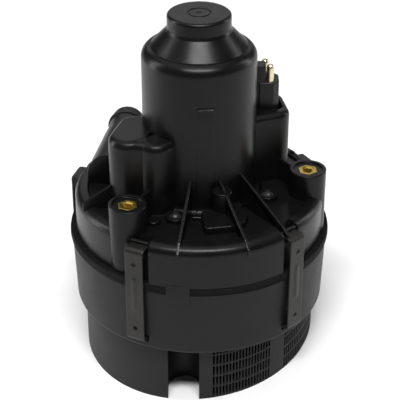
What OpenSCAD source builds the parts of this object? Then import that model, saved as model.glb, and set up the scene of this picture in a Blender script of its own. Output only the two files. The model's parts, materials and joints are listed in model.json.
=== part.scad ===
// Electric secondary air pump: a DC motor drives two fan wheels in a round housing.
// Millimetres. The origin is where the rotor axis meets the slanted bottom face, +Z runs up the
// rotor axis, -Y is the side with the U-shaped groove and +X is the side with the socket.
// Every azimuth is counted from -Y towards +X.

/* [Intake base] */
// Step from the fan housing's outer radius in to the intake base
base_inset = 5.8; // [5:0.1:9]
// Height of the base on the rotor axis
base_h = 27.5; // [24:0.5:40]
// Wall thickness of the intake base
base_wall = 2.4; // [1.8:0.1:3]
// Rise of the bottom face towards +X, in degrees
base_tilt_x = 5; // [0:0.5:6]
// Rise of the bottom face towards +Y, in degrees
base_tilt_y = 5.3; // [0:0.1:6]
// Width of the U-shaped groove
groove_w = 17; // [10:0.5:20]
// Distance of the groove's centre line from the rotor axis
groove_x = -8.5; // [-14:0.5:0]
// Depth of the groove from the outside of the base to the start of its round back
groove_depth = 19.7; // [14:0.1:23]
// Number of slots in one row of a grille panel
slots_per_panel = 19; // [8:1:21]
// Width of one grille slot
slot_w = 1.1; // [0.6:0.1:1.3]
// Height from one row of slots to the next
slot_pitch_z = 7; // [6:0.5:10]

/* [Fan housing] */
// Outer radius of the fan housing at its top edge
ring_r = 71; // [70:0.1:76]
// Height of the fan housing
ring_h = 38; // [32:0.5:50]
// Wall thickness of the fan housing
ring_wall = 3; // [2.4:0.1:4]
// Radius of the inlet eye in the floor
eye_r = 20; // [16:0.5:24]

/* [Seal] */
// Distance that the rubber seal band stands out of the fan housing
seal_proud = 1; // [0.5:0.1:2]
// Height of the seal band
seal_h = 4.8; // [3:0.1:7]

/* [Cover] */
// Step from the fan housing's outer radius in to the cover's skirt
cover_inset = 2.5; // [1.5:0.1:3.5]
// Height from the bottom of the skirt to its shoulder
skirt_h = 23.7; // [20:0.1:32]
// Wall thickness of the cover's skirt
cover_wall = 2.6; // [2:0.1:3.4]
// Height of the mounting bosses above the shoulder
boss_rise = 13.3; // [8:0.1:20]
// Radius of a mounting boss
boss_r = 10; // [8:0.5:11]
// Distance from the cover's outer radius in to the middle of a mounting boss
boss_inset = 9; // [8.5:0.1:12]
// Radius of the threaded hole in a mounting insert
insert_bore_r = 2.5; // [2:0.25:3.2]
// Width across the flats of the hexagonal mounting inserts
insert_flats = 9.5; // [8:0.5:12]

/* [Motor tower] */
// Outer radius of the motor tower
tower_r = 30.5; // [29:0.5:34]
// Height of the tower's straight wall above the shoulder
tower_h = 76; // [70:1:100]
// Wall thickness of the motor tower
tower_wall = 2; // [1.5:0.1:2.6]
// Outer radius of the cap on the tower
cap_r = 16.8; // [15:0.1:18]
// Height of the cap's top above the tower's straight wall
cap_rise = 23.6; // [20:0.1:30]

/* [Outlet] */
// Outer radius of the hose spigot
spigot_r = 10; // [8:0.5:11]
// Bore radius of the outlet
outlet_bore_r = 7.6; // [6:0.1:8]
// Distance from the rotor axis plane to the end of the spigot
outlet_end = 68; // [58:1:75]

/* [Clips] */
// Width of a spring clip
clip_w = 10.5; // [8:0.5:12]
// Thickness of the spring steel
clip_t = 1; // [0.6:0.1:1.2]

/* [Rotor] */
// Radius of the rotor shaft
shaft_r = 4; // [3:0.5:5]
// Gap from the fan wheels to the wall of their chamber
wheel_gap = 12.6; // [11.6:0.1:22]
// Number of blades on a fan wheel
blades = 11; // [7:1:15]
// Gap between the armature stack and the magnets
air_gap = 1.6; // [0.6:0.1:4]
// Room above the upper winding
winding_room = 6.5; // [2.5:0.5:14]
// Thickness of the magnets
magnet_t = 3.6; // [2:0.1:5]

/* [Fits] */
// Gap between neighbouring moving bodies
gap = 0.4; // [0.3:0.05:0.6]
// Radial clearance of a running fit
run_fit = 0.05; // [0.03:0.01:0.08]

/* [Hidden] */
$fn = 72;
// Depth to which joined pieces of one solid run into each other
lap = 0.3;

// Radii that follow the fan housing's
base_r = ring_r - base_inset;
groove_back = base_r - groove_depth;
seal_r = ring_r + seal_proud;
cover_r = ring_r - cover_inset;
boss_pcd_r = cover_r - boss_inset;

// Levels along the rotor axis
ring_z = base_h;
seal_z = ring_z + ring_h;
skirt_z = seal_z + seal_h;
rim_z = skirt_z + skirt_h;
deck_z = rim_z - 1.5;
deck_under_z = rim_z - 4;
boss_z = rim_z + boss_rise;
tower_z = rim_z + tower_h;
cap_z = tower_z + cap_rise;

// Skirt and shoulder
shoulder_r = 5;
panel_r = ring_r;
panel_az0 = -22;
panel_az1 = 39;
chamber_r = cover_r - cover_wall;

// Fan housing, with an index tab that stands in front of the seal
tab_az0 = -14;
tab_az1 = -4;
tab_in_r = ring_r - 1;
ring_floor_t = 2.5;
ring_taper = 1.4;
ring_in_r = ring_r - ring_taper - ring_wall;
stage_plate_r = ring_in_r + 1;
base_screw_az = [60, 180, 300];
base_screw_r = base_r - 15.2;
wheel_r = ring_in_r - wheel_gap;

// Grille panels: first azimuth of each, and the angle from one slot to the next
panel_az = [6.2, 45.8, 85.4];
slot_step = 30.6 / slots_per_panel;
slot_rows = 4;
rail_t = 0.9;

// Mounting bosses and their inserts
boss_az = [-38.5, 81.5, 201.5];
insert_l = 12;

// Motor
tower_in_r = tower_r - tower_wall;
can_gap = 1.1;
can_r = tower_in_r - can_gap;
can_t = 1.2;
can_z = deck_under_z;
can_top_z = tower_z - 4;
mount_plate_t = 2.5;
mount_plate_z = deck_under_z - mount_plate_t;
deck_screw_r = tower_r + 9.5;
deck_screw_az = [-18.2, 68, 158, 225];
mount_plate_r = deck_screw_r + 7;
screw_hole_r = 2.1;
screw_r = 2;

// Bearings: 8 mm bore, 22 mm outside, 7 mm wide
bearing_out_r = shaft_r + 7;
bearing_w = 7;
bearing_race_in_r = shaft_r + 2;
bearing_race_out_r = shaft_r + 5;
ball_r = 1.95;
ball_orbit_r = shaft_r + 3.5;
ball_count = 7;
lower_bearing_z = mount_plate_z - 4;
upper_bearing_z = can_top_z + 0.5;

// Rotor stack
brush_plate_z = deck_z + 2;
brush_plate_t = 2.5;
commutator_r = shaft_r + 5;
commutator_h = 13;
commutator_z = brush_plate_z + brush_plate_t + 1;
bar_count = 12;
brush_h = 8;
brush_w = 6;
brush_room = 8.2;
brush_l = can_r - can_t - commutator_r - brush_room;
brush_travel = 1.5;
brush_sides = [-90, 90];
brush_box_wall = 1;
brush_z = commutator_z + 3;
brush_gap = run_fit;
winding_h = 6.5;
core_z = commutator_z + commutator_h + winding_h + 1.5;
armature_l = can_top_z - winding_room - winding_h - core_z;
armature_r = can_r - can_t - magnet_t - air_gap;
shaft_top_z = upper_bearing_z + bearing_w - 0.5;
thread_r = shaft_r - 1;
nut_z = ring_z + ring_floor_t + 1.5;
nut_h = 5;
washer_t = 1.5;
lower_hub_z = nut_z + nut_h + washer_t;
hub_r = shaft_r + 5;
stage_plate_t = 2;
stage_plate_z = seal_z - stage_plate_t;
lower_wheel_z = lower_hub_z;
lower_wheel_h = 20;
upper_wheel_h = 11;
upper_wheel_z = stage_plate_z + stage_plate_t + 2;

// Outlet duct
duct_x = -49;
duct_yaw = 6;
duct_z = rim_z + 3.5;
duct_r0 = 13;
spigot_l = 23;
groove_back_z = 9;
groove_l = 2.4;

// Bulge beside the tower: the middles and radii of its round corners
bulge_z = rim_z + 39.3;
bulge_side = [-(tower_r + 6.3), -19.5];
bulge_side_r = 11;
bulge_front = [8 - tower_r, 6.5 - tower_r];
bulge_front_r = 9.8;
bulge_rear = [-(tower_r + 4), -4];
bulge_rear_r = 9;
bulge_dip = 1.5;

// Column with the electrical socket
column_z = rim_z + 38.8;
column_posts = [[tower_r + 10.7, 12.6], [tower_r + 8.3, 26.6]];
column_post_r = 8;
socket_depth = 16;
socket_wall = 3.5;
socket_x = tower_r - 1.3;
socket_y = 11.8;
pin_places = [[tower_r + 7.9, 15.5], [tower_r + 5.3, 22.5]];
pin_r = 2;
block_z = column_z + 15;
pin_z = block_z + 10;
bar_z = brush_plate_z + brush_plate_t;

// Spring clips
clip_az = [-27.5, 44.5, 119.5, 188, 254.5];
clip_in_r = seal_r + 0.4;
clip_hook_z = ring_z + 6.5;
clip_tip_r = ring_in_r + ring_wall - 1.8;
clip_top_z = rim_z - 3.5;
clip_top_r = cover_r - 3;
clip_pocket_w = clip_w + 2 * gap;
clip_roll_r = 0.8;

// Turns +X to point outwards at an azimuth.
module at_az(az) {
  rotate([0, 0, az - 90]) children();
}

// Ring-shaped block between two radii and two heights.
module ring(r_out, r_in, z0, h) {
  translate([0, 0, z0]) difference() {
    cylinder(r = r_out, h = h);
    translate([0, 0, -1]) cylinder(r = r_in, h = h + 2);
  }
}

// Piece of a ring between two azimuths.
module sector(r_in, r_out, z0, h, az0, az1) {
  at_az(az0) rotate_extrude(angle = az1 - az0)
    translate([r_in, z0]) square([r_out - r_in, h]);
}

// Upright plate between two points of the plan, with its top edge from z0 to z1.
module fin(p0, p1, z0, z1, t, foot) {
  run = p1 - p0;
  translate([p0[0], p0[1], 0])
    rotate([90, 0, atan2(run[1], run[0])])
      translate([0, 0, -t / 2]) linear_extrude(height = t)
        polygon([[0, foot], [norm(run), foot], [norm(run), z1], [0, z0]]);
}

// Rib whose top edge runs down to the shoulder and then on down the skirt.
module long_rib(p0, p1, top, t, foot) {
  run = p1 - p0;
  reach = norm(run);
  knee = reach - 5;
  translate([p0[0], p0[1], 0])
    rotate([90, 0, atan2(run[1], run[0])])
      translate([0, 0, -t / 2]) linear_extrude(height = t) polygon([
        [0, foot], [knee, foot], [knee, rim_z - 7], [reach, rim_z - 7], [reach, rim_z - 3],
        [knee, rim_z + 1.2], [0, top]
      ]);
}

// Point of the plan at a radius and an azimuth.
function plan(r, az) = [r * sin(az), -r * cos(az)];

// Upright post whose top edge is rounded in three steps, for use inside a hull.
module soft_post(p, r, z0, z1, edge) {
  for (a = [0, 30, 60, 90])
    translate([p[0], p[1], z0])
      cylinder(r = r - edge * (1 - cos(a)), h = z1 - z0 - edge * (1 - sin(a)), $fn = 32);
}

// Everything above the slanted bottom face, raised by lift.
module above_bottom(lift) {
  rotate([base_tilt_y, -base_tilt_x, 0]) translate([-150, -150, lift]) cube([300, 300, 200]);
}

// ---------------------------------------------------------------- motor cover

// Half section of the cover's outer form, for rotate_extrude.
module cover_outline() {
  fillet = 3;
  tower_edge = 6;
  difference() {
    union() {
      translate([0, skirt_z]) square([cover_r, skirt_h - shoulder_r]);
      translate([0, skirt_z]) square([cover_r - shoulder_r, skirt_h]);
      translate([cover_r - shoulder_r, rim_z - shoulder_r]) circle(r = shoulder_r);
      square([tower_r, tower_z]);
      square([tower_r - tower_edge, tower_z + tower_edge]);
      translate([tower_r - tower_edge, tower_z]) circle(r = tower_edge);
      square([tower_r + fillet, deck_z + fillet]);
      polygon([
        [0, tower_z], [tower_r - 3.7, tower_z + 4.3], [cap_r + 0.6, cap_z - 8.8],
        [cap_r, cap_z - 7.6], [0, cap_z - 7.6]
      ]);
      square([cap_r, cap_z - 1.8]);
      square([cap_r - 1.8, cap_z]);
      translate([cap_r - 1.8, cap_z - 1.8]) circle(r = 1.8);
    }
    translate([tower_r + fillet, deck_z + fillet]) circle(r = fillet);
    translate([tower_r + fillet, deck_z]) square([cover_r - shoulder_r - tower_r - fillet - 1, 3]);
    translate([0, -1]) square([cover_r + 1, skirt_z + 1]);
    translate([-20, -1]) square([20, cap_z + 2]);
  }
}

// Half section of the hollow inside the cover.
module cover_hollow() {
  corner = 6;
  polygon([
    [0, skirt_z - 1], [chamber_r, skirt_z - 1], [chamber_r, deck_under_z - corner],
    [chamber_r - corner, deck_under_z], [tower_in_r, deck_under_z], [tower_in_r, tower_z - 2],
    [tower_in_r - 4, tower_z + 2.5], [cap_r - 1.4, cap_z - 11], [cap_r - 2, cap_z - 9],
    [cap_r - 2, cap_z - 2.4], [0, cap_z - 2.4]
  ]);
}

// Bulge for the suppression parts at the left of the tower.
module choke_bulge() {
  edge = 4;
  hull() {
    soft_post(bulge_side, bulge_side_r, deck_under_z, bulge_z, edge);
    soft_post(bulge_rear, bulge_rear_r, deck_under_z, bulge_z, edge);
    soft_post([10.5 - tower_r, -8], 12, deck_under_z, bulge_z, edge);
  }
  hull() {
    soft_post(bulge_front, bulge_front_r, deck_under_z, bulge_z, edge);
    soft_post([16.5 - tower_r, -12], 12, deck_under_z, bulge_z, edge);
  }
  hull() {
    soft_post(bulge_side, bulge_side_r - bulge_dip, deck_under_z, bulge_z, edge);
    soft_post(bulge_front, bulge_front_r - bulge_dip, deck_under_z, bulge_z, edge);
  }
}

// Hollow of the bulge, open to the motor.
module choke_hollow() {
  wall = 2.2;
  side_in = bulge_side_r - wall;
  front_in = bulge_front_r - wall;
  rear_in = bulge_rear_r - wall;
  translate([0, 0, deck_z]) linear_extrude(height = bulge_z - deck_z - wall) {
    translate(bulge_side) circle(r = side_in);
    translate(bulge_front) circle(r = front_in);
    translate(bulge_rear) circle(r = rear_in);
    polygon([
      bulge_side + [-side_in, 0], bulge_side + [0, bulge_dip - side_in],
      bulge_front + [0, bulge_dip - front_in], bulge_front + [7, 0], [12.5 - tower_r, -6],
      [8.5 - tower_r, 2], bulge_rear + [0, rear_in], bulge_rear + [-rear_in, 0]
    ]);
  }
}

// Column beside the tower that carries the electrical socket.
module connector_column() {
  edge = 3;
  hull() {
    for (p = column_posts) soft_post(p, column_post_r, deck_under_z, column_z, edge);
    soft_post([tower_r - 3.5, 7.5], column_post_r, deck_under_z, column_z, edge);
    soft_post([tower_r - 6.5, 26], column_post_r, deck_under_z, column_z, edge);
  }
}

// Outline of the socket, a rounded block behind the column's thick front wall.
module socket_outline() {
  r = column_post_r - socket_wall;
  front = [column_posts[0][0], socket_y + r];
  rear = column_posts[1];
  for (p = [front, rear]) translate(p) circle(r = r);
  polygon([
    [socket_x, socket_y], front + [0, -r], front + [r, 0], rear + [r, 0], rear + [0, r],
    [socket_x, rear[1] + r]
  ]);
}

// Window through the tower's wall for the bus bars.
module bar_window() {
  translate([tower_in_r - 8.5, 12, bar_z - 0.6]) cube([16, 8, 2.4]);
}

// Round mounting boss, with the bump that it leaves on the skirt below.
module mounting_boss() {
  translate([boss_pcd_r, 0, deck_under_z]) cylinder(r = boss_r, h = boss_z - deck_under_z);
  intersection() {
    translate([boss_pcd_r, 0, skirt_z]) cylinder(r = boss_r, h = skirt_h);
    ring(cover_r + 3, chamber_r, skirt_z, skirt_h);
  }
}

// Thick front panel of the skirt between two clips, with the ledges beside it.
module front_panel() {
  edge = 4;
  at_az(panel_az0) rotate_extrude(angle = panel_az1 - panel_az0) {
    translate([chamber_r, skirt_z]) square([panel_r - chamber_r, skirt_h - edge]);
    translate([chamber_r, skirt_z]) square([panel_r - chamber_r - edge, skirt_h]);
    translate([panel_r - edge, rim_z - edge]) circle(r = edge);
  }
  for (az = [panel_az0 - 1.7, panel_az1 + 1.2])
    sector(chamber_r, panel_r - 0.6, skirt_z, skirt_h - 4, az, az + 0.7);
}

// Ribs from the tower to the shoulder.
module cover_ribs() {
  rib_t = 1.6;
  foot = deck_under_z + 1;
  top = rim_z + 17.5;
  low = rim_z + 1;
  for (rib = [[-9, -9], [21, 21], [47, 41]])
    long_rib(plan(tower_r - 1, rib[0]), plan(panel_r + 0.5, rib[1]), top, rib_t, foot);
  side = cover_r - 0.5;
  fin(bulge_side + [1, -2.5], plan(side, -66), rim_z + 18.5, rim_z + 2.5, rib_t, foot);
  fin(bulge_front + [-1.5, -7], plan(boss_pcd_r, boss_az[0]), boss_z + 1, boss_z - 1, rib_t, foot);
  fin([tower_r + 11.5, 8], plan(boss_pcd_r, boss_az[1]), boss_z - 1, boss_z - 4, rib_t, foot);
  fin([tower_r + 13.5, 30], plan(side - 2, 130), rim_z + 20, rim_z + 1, rib_t, foot);
  fin(plan(tower_r - 1, 165), plan(side - 3, 165), top, low, rib_t, foot);
  fin(plan(tower_r - 1, 240), plan(deck_screw_r + 12, 240), top, rim_z + 6, rib_t, foot);
}

// Raised pads on the deck and the rings around its screws.
module deck_details() {
  h = 2;
  for (az = deck_screw_az)
    at_az(az) translate([deck_screw_r, 0, 0]) ring(5.4, 3.6, deck_z - 1, h + 1.6);
  at_az(20) translate([tower_r + 5, 0, deck_z - 1]) cylinder(r = 5.2, h = 16);
  translate([0, 0, deck_z - 1]) linear_extrude(height = 2 * h + 1) polygon([
    plan(tower_r + 5.5, 1), plan(tower_r + 23.5, 3), plan(tower_r + 23.5, 18), plan(tower_r + 22, 27),
    plan(tower_r + 16, 34), plan(tower_r + 5.5, 36)
  ]);
  translate([0, 0, deck_z - 1]) linear_extrude(height = h + 1) polygon([
    plan(tower_r + 5.5, -6), plan(tower_r + 8.8, -5.5), plan(tower_r + 8.8, 2), plan(tower_r + 5.5, 2)
  ]);
  at_az(-30) translate([tower_r + 17.2, 0, deck_z - 1]) cylinder(r = 3.7, h = h + 1);
}

// Outlet duct, a cone that ends in a hose spigot; its own axis is local +Z.
module outlet_frame() {
  translate([duct_x, 0, duct_z]) rotate([-90, 0, -duct_yaw]) children();
}

module outlet_duct() {
  outlet_frame() {
    cylinder(r1 = duct_r0, r2 = spigot_r + 0.5, h = outlet_end - spigot_l);
    cylinder(r = spigot_r, h = outlet_end);
  }
}

module outlet_bore() {
  outlet_frame() {
    translate([0, 0, 4]) cylinder(r = outlet_bore_r, h = outlet_end);
    translate([0, 0, outlet_end - groove_back_z]) difference() {
      cylinder(r = spigot_r + 3, h = groove_l);
      translate([0, 0, -1]) cylinder(r = spigot_r - 1.2, h = groove_l + 2);
    }
  }
  translate([-57, 7, deck_under_z - 1]) cube([13, 20, duct_z - deck_under_z]);
}

// Notches in the shoulder where the clips' upper hooks lie.
module clip_seats() {
  for (az = clip_az)
    at_az(az)
      translate([clip_top_r - 2.5, -clip_pocket_w / 2, clip_top_z - clip_t - gap])
        cube([20, clip_pocket_w, 20]);
}

// Sunk ring on top of the cap.
module cap_mark() {
  ring(6, 5.2, cap_z - 0.6, 2);
  translate([0, 0, cap_z - 0.5]) cylinder(r = 1.2, h = 2);
}

// Shallow strip on the front of the tower.
module tower_strip() {
  strip_w = 9;
  intersection() {
    translate([-strip_w / 2 + 3.2, -tower_r - 5, rim_z]) cube([strip_w, 20, 54]);
    ring(tower_r + 0.6, tower_r - 1, rim_z, 54);
  }
}

module motor_cover() {
  color("dimgray") difference() {
    union() {
      rotate_extrude() cover_outline();
      choke_bulge();
      connector_column();
      for (az = boss_az) at_az(az) mounting_boss();
      front_panel();
      cover_ribs();
      deck_details();
      outlet_duct();
      tower_strip();
    }
    rotate_extrude() cover_hollow();
    choke_hollow();
    translate([0, 0, column_z - socket_depth])
      linear_extrude(height = socket_depth + 5) socket_outline();
    translate([0, 0, deck_z])
      linear_extrude(height = column_z - socket_depth - 2.5 - deck_z) socket_outline();
    for (p = pin_places)
      translate([p[0], p[1], deck_z]) cylinder(r = pin_r + 0.6, h = column_z - deck_z);
    bar_window();
    outlet_bore();
    clip_seats();
    cap_mark();
    for (az = boss_az) at_az(az) translate([boss_pcd_r, 0, 0]) {
      translate([0, 0, boss_z - 1]) cylinder(r = boss_r - 2, h = 2);
      translate([0, 0, boss_z - insert_l]) cylinder(d = insert_flats / cos(30), h = insert_l, $fn = 6);
    }
    for (az = deck_screw_az)
      at_az(az) translate([deck_screw_r, 0, deck_under_z - 1]) cylinder(r = screw_hole_r, h = 9);
  }
}

module mounting_inserts() {
  color("goldenrod") for (az = boss_az) at_az(az)
    translate([boss_pcd_r, 0, boss_z - insert_l]) difference() {
      cylinder(d = insert_flats / cos(30), h = insert_l - 1, $fn = 6);
      translate([0, 0, -1]) cylinder(r = insert_bore_r, h = insert_l + 2);
    }
}

// ---------------------------------------------------------------- housing below the cover

module cover_seal() {
  color([0.08, 0.08, 0.08]) difference() {
    ring(seal_r, seal_r - 7, seal_z, seal_h);
    sector(panel_r - 0.6, seal_r + 1, seal_z - 1, seal_h + 2, panel_az0, panel_az1);
    sector(tab_in_r, seal_r + 1, seal_z - 1, seal_h + 2, tab_az0 - 0.4, tab_az1 + 0.4);
  }
}

// Half section of the fan housing's wall and floor.
module ring_outline() {
  edge = 2.5;
  low_r = ring_r - ring_taper;
  difference() {
    union() {
      polygon([
        [0, ring_z], [low_r - edge, ring_z], [low_r, ring_z + edge], [ring_r, seal_z], [0, seal_z]
      ]);
      translate([low_r - edge, ring_z + edge]) circle(r = edge);
    }
    translate([-20, ring_z - 1]) square([20, ring_h + 2]);
    translate([-1, ring_z + ring_floor_t]) square([ring_in_r + 1, ring_h - stage_plate_t - ring_floor_t]);
    translate([-1, stage_plate_z]) square([stage_plate_r + 1, stage_plate_t + 1]);
    translate([-1, ring_z - 1]) square([eye_r + 1, ring_h]);
  }
}

module fan_ring() {
  color("dimgray") difference() {
    union() {
      rotate_extrude() ring_outline();
      ring(eye_r + 2, eye_r, ring_z, ring_floor_t + 2);
      sector(ring_r - ring_wall, ring_r + 0.5, seal_z - 5, 5, tab_az0, tab_az1);
      sector(tab_in_r, ring_r + 0.5, seal_z - 5, seal_h + 4.6, tab_az0, tab_az1);
      for (az = clip_az) at_az(az)
        translate([ring_in_r - 2.5, -clip_w / 2 - 2, ring_z + 1]) cube([4, clip_w + 4, 12]);
    }
    for (az = clip_az) at_az(az)
      translate([clip_tip_r - gap, -clip_pocket_w / 2, clip_hook_z - clip_t / 2 - 1.2])
        cube([20, clip_pocket_w, 2 * clip_t + 1.6]);
    for (az = base_screw_az)
      at_az(az) translate([base_screw_r, 0, ring_z - 1]) cylinder(r = screw_hole_r, h = 10);
  }
}

// Slots of the grille panels, left standing as rows between level rails.
module grille_slots() {
  difference() {
    for (az = panel_az)
      for (i = [0 : slots_per_panel - 1])
        at_az(az + slot_step * (i + 0.5))
          translate([base_r - base_wall - 1, -slot_w / 2, -12])
            cube([base_wall + 3, slot_w, base_h + 12 - 0.8]);
    for (row = [0 : slot_rows])
      rotate([base_tilt_y, -base_tilt_x, 0])
        translate([-100, -100, slot_pitch_z * row - (row == 0 ? 20 : 0)])
          cube([200, 200, row == 0 ? 20 + rail_t : rail_t]);
  }
}

// Plan of the groove, with a round back.
module groove_outline(grow) {
  w = groove_w / 2 + grow;
  translate([groove_x, -groove_back - groove_w / 2]) circle(r = w);
  translate([groove_x - w, -base_r - 10]) square([2 * w, base_r + 10 - groove_back - groove_w / 2]);
}

module intake_base() {
  color("dimgray") intersection() {
    above_bottom(0);
    difference() {
      union() {
        difference() {
          translate([0, 0, -20]) cylinder(r = base_r, h = base_h + 20);
          difference() {
            translate([0, 0, -20]) cylinder(r = base_r - base_wall, h = base_h + 21);
            difference() {
              translate([0, 0, -21]) cylinder(r = base_r, h = 40);
              above_bottom(base_wall);
            }
          }
          grille_slots();
        }
        intersection() {
          translate([0, 0, -20]) linear_extrude(height = base_h + 20) groove_outline(base_wall);
          translate([0, 0, -20]) cylinder(r = base_r, h = base_h + 20);
        }
        for (az = base_screw_az)
          at_az(az) translate([base_screw_r, 0, -20]) cylinder(r = 4.5, h = base_h + 20);
      }
      translate([0, 0, -21]) linear_extrude(height = base_h + 22) groove_outline(0);
      for (az = base_screw_az)
        at_az(az) translate([base_screw_r, 0, base_h - 12]) cylinder(r = screw_r, h = 13);
    }
  }
}

module intake_filter() {
  foam_out_r = groove_back - base_wall - 3;
  color("darkslategray") intersection() {
    ring(foam_out_r, eye_r + 8, -10, base_h + 10 - 0.3);
    above_bottom(base_wall);
  }
}

module stage_plate() {
  color("gray") difference() {
    union() {
      ring(stage_plate_r, 14, stage_plate_z, stage_plate_t);
      for (i = [0 : 8])
        rotate([0, 0, 40 * i]) translate([24, 0, stage_plate_z - 4]) rotate([0, 0, 25])
          cube([26, 1.4, 4 + lap]);
    }
    translate([0, 0, stage_plate_z - 10]) cylinder(r = 14, h = 20);
  }
}

// Pan-head screw pointing down from its seat.
module pan_screw(length) {
  difference() {
    union() {
      cylinder(r = 3.3, h = 2);
      translate([0, 0, -length]) cylinder(r = screw_r, h = length + lap);
    }
    translate([0, 0, 0.9]) cylinder(r = 1.6, h = 3, $fn = 6);
  }
}

module base_screws() {
  color("silver") for (az = base_screw_az)
    at_az(az) translate([base_screw_r, 0, ring_z + ring_floor_t]) pan_screw(11);
}

module deck_screws() {
  color("silver") for (az = deck_screw_az)
    at_az(az) translate([deck_screw_r, 0, deck_z]) pan_screw(deck_z - mount_plate_z);
}

// ---------------------------------------------------------------- electrical socket

module connector_block() {
  floor_z = column_z - socket_depth;
  left = socket_x + 3;
  right = column_posts[0][0] + 2.1;
  front = socket_y + 0.8;
  back = front + 14.9;
  color([0.12, 0.12, 0.12]) difference() {
    union() {
      translate([0, 0, floor_z]) linear_extrude(height = block_z - floor_z) polygon([
        [left, front], [right - 3, front], [right, front + 3], [right, back - 3.5], [right - 3.5, back],
        [left, back]
      ]);
      translate([socket_x + 0.4, front + 0.7, floor_z]) cube([6, 6.9, pin_z - floor_z]);
    }
    for (p = pin_places)
      translate([p[0], p[1], floor_z - 1]) cylinder(r = pin_r, h = pin_z - floor_z);
    translate([right - 2, front + 5.5, block_z - 4]) cylinder(r = 0.9, h = 5);
  }
}

module terminal_pins() {
  bottom = column_z - socket_depth - 8;
  color("khaki") for (p = pin_places) translate([p[0], p[1], bottom]) {
    cylinder(r = pin_r, h = pin_z - pin_r - bottom);
    translate([0, 0, pin_z - pin_r - bottom]) sphere(r = pin_r);
  }
}

module outlet_seal_ring() {
  color([0.08, 0.08, 0.08]) outlet_frame()
    translate([0, 0, outlet_end - groove_back_z + groove_l / 2])
      rotate_extrude() translate([spigot_r - 0.05, 0]) circle(r = groove_l / 2 - 0.05, $fn = 24);
}

// ---------------------------------------------------------------- motor

module motor_mount_plate() {
  boss_h = mount_plate_z - lower_bearing_z;
  color("silver") difference() {
    union() {
      translate([0, 0, mount_plate_z]) cylinder(r = mount_plate_r, h = mount_plate_t);
      translate([0, 0, mount_plate_z - boss_h]) cylinder(r = bearing_out_r + 2.5, h = boss_h + 1);
      translate([0, 0, mount_plate_z]) cylinder(r = bearing_out_r + 2.5, h = mount_plate_t + 1.5);
    }
    translate([0, 0, lower_bearing_z]) cylinder(r = bearing_out_r, h = bearing_w);
    translate([0, 0, lower_bearing_z - 1]) cylinder(r = bearing_race_out_r, h = 30);
    for (az = deck_screw_az)
      at_az(az) translate([deck_screw_r, 0, 0]) cylinder(r = screw_r, h = 200);
  }
}

module motor_can() {
  window_h = brush_plate_z + 14 - can_z;
  seat_h = bearing_w + 0.5;
  color("lightsteelblue") difference() {
    union() {
      translate([0, 0, can_z]) cylinder(r = can_r, h = can_top_z - can_z);
      translate([0, 0, can_top_z - can_t / 2]) cylinder(r = bearing_out_r + can_t, h = seat_h + 1.5 * can_t);
    }
    translate([0, 0, can_z - 1]) cylinder(r = can_r - can_t, h = can_top_z - can_z + 1 - can_t);
    translate([0, 0, upper_bearing_z]) cylinder(r = bearing_out_r, h = bearing_w);
    translate([0, 0, can_top_z - 5]) cylinder(r = bearing_race_out_r, h = seat_h + 5);
    for (az = [126, 250])
      at_az(az) translate([0, -8, brush_plate_z - 0.5]) cube([40, 16, window_h - 4]);
  }
}

module field_magnets() {
  r_out = can_r - can_t;
  color([0.25, 0.25, 0.27]) for (az = [-60, 120])
    sector(r_out - magnet_t, r_out, core_z - 3, armature_l + 6, az, az + 120);
}

module damper_rings() {
  color([0.1, 0.1, 0.1]) for (z = [can_z + 36, can_top_z - 8])
    ring(tower_in_r, can_r, z, 4);
}

// Moulded plate with a box for the brush at the front and for the one at the back.
module brush_plate() {
  box_w = brush_w + 2 * gap + 2 * brush_box_wall;
  box_h = brush_h + 2 * gap + brush_box_wall;
  r_in = commutator_r + 1.5;
  plate_top = brush_plate_z + brush_plate_t;
  color("saddlebrown") difference() {
    union() {
      translate([0, 0, brush_plate_z]) cylinder(r = can_r - can_t, h = brush_plate_t);
      for (a = brush_sides) rotate([0, 0, a])
        translate([r_in, -box_w / 2, plate_top - lap])
          cube([can_r - can_t - r_in - 1.5, box_w, brush_z - plate_top + box_h]);
    }
    translate([0, 0, brush_plate_z - 1]) cylinder(r = bearing_out_r + 2.8, h = 2.5);
    translate([0, 0, brush_plate_z - 1]) cylinder(r = commutator_r + 1, h = 10);
    for (a = brush_sides) rotate([0, 0, a])
      translate([0, -brush_w / 2 - gap, brush_z - gap])
        cube([can_r - can_t - 3, brush_w + 2 * gap, brush_h + 2 * gap]);
  }
}

module brush(side) {
  r_in = commutator_r + brush_gap;
  color([0.2, 0.2, 0.2]) rotate([0, 0, side]) difference() {
    translate([commutator_r - 1, -brush_w / 2, brush_z]) cube([brush_l + 1, brush_w, brush_h]);
    translate([0, 0, brush_z - 1]) cylinder(r = r_in, h = brush_h + 2);
  }
}

module brush_1() brush(brush_sides[0]);
module brush_2() brush(brush_sides[1]);

// Springs behind the brushes, drawn as stacks of wire rings.
module brush_springs() {
  start = commutator_r + brush_l + brush_travel + gap;
  stop = can_r - can_t - 3;
  coils = 5;
  pitch = (stop - start - 1) / (coils - 1);
  color("silver") for (a = brush_sides) rotate([0, 0, a])
    translate([start + 0.5, 0, brush_z + brush_h / 2]) rotate([0, 90, 0]) {
      for (i = [0 : coils - 1]) translate([0, 0, pitch * i])
        rotate_extrude() translate([2.2, 0]) circle(r = 0.3, $fn = 16);
      for (s = [-1, 1]) translate([2.2 * s - 0.25, -0.25, 0]) cube([0.5, 0.5, pitch * (coils - 1)]);
    }
}

module bus_bars() {
  x_in = tower_in_r - 12;
  color("peru") for (i = [0, 1]) {
    x = pin_places[i][0];
    y = pin_places[i][1];
    y_in = 12.5 + 5 * i;
    translate([x - 1.5, y - 1.5, bar_z]) cube([3, 3, column_z - socket_depth - 8 - bar_z]);
    translate([x_in, y_in, bar_z]) cube([x + 1.5 - x_in, 2, 1.2]);
    translate([x - 1.5, y_in, bar_z]) cube([3, y - y_in + 1.5, 1.2]);
  }
}

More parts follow.
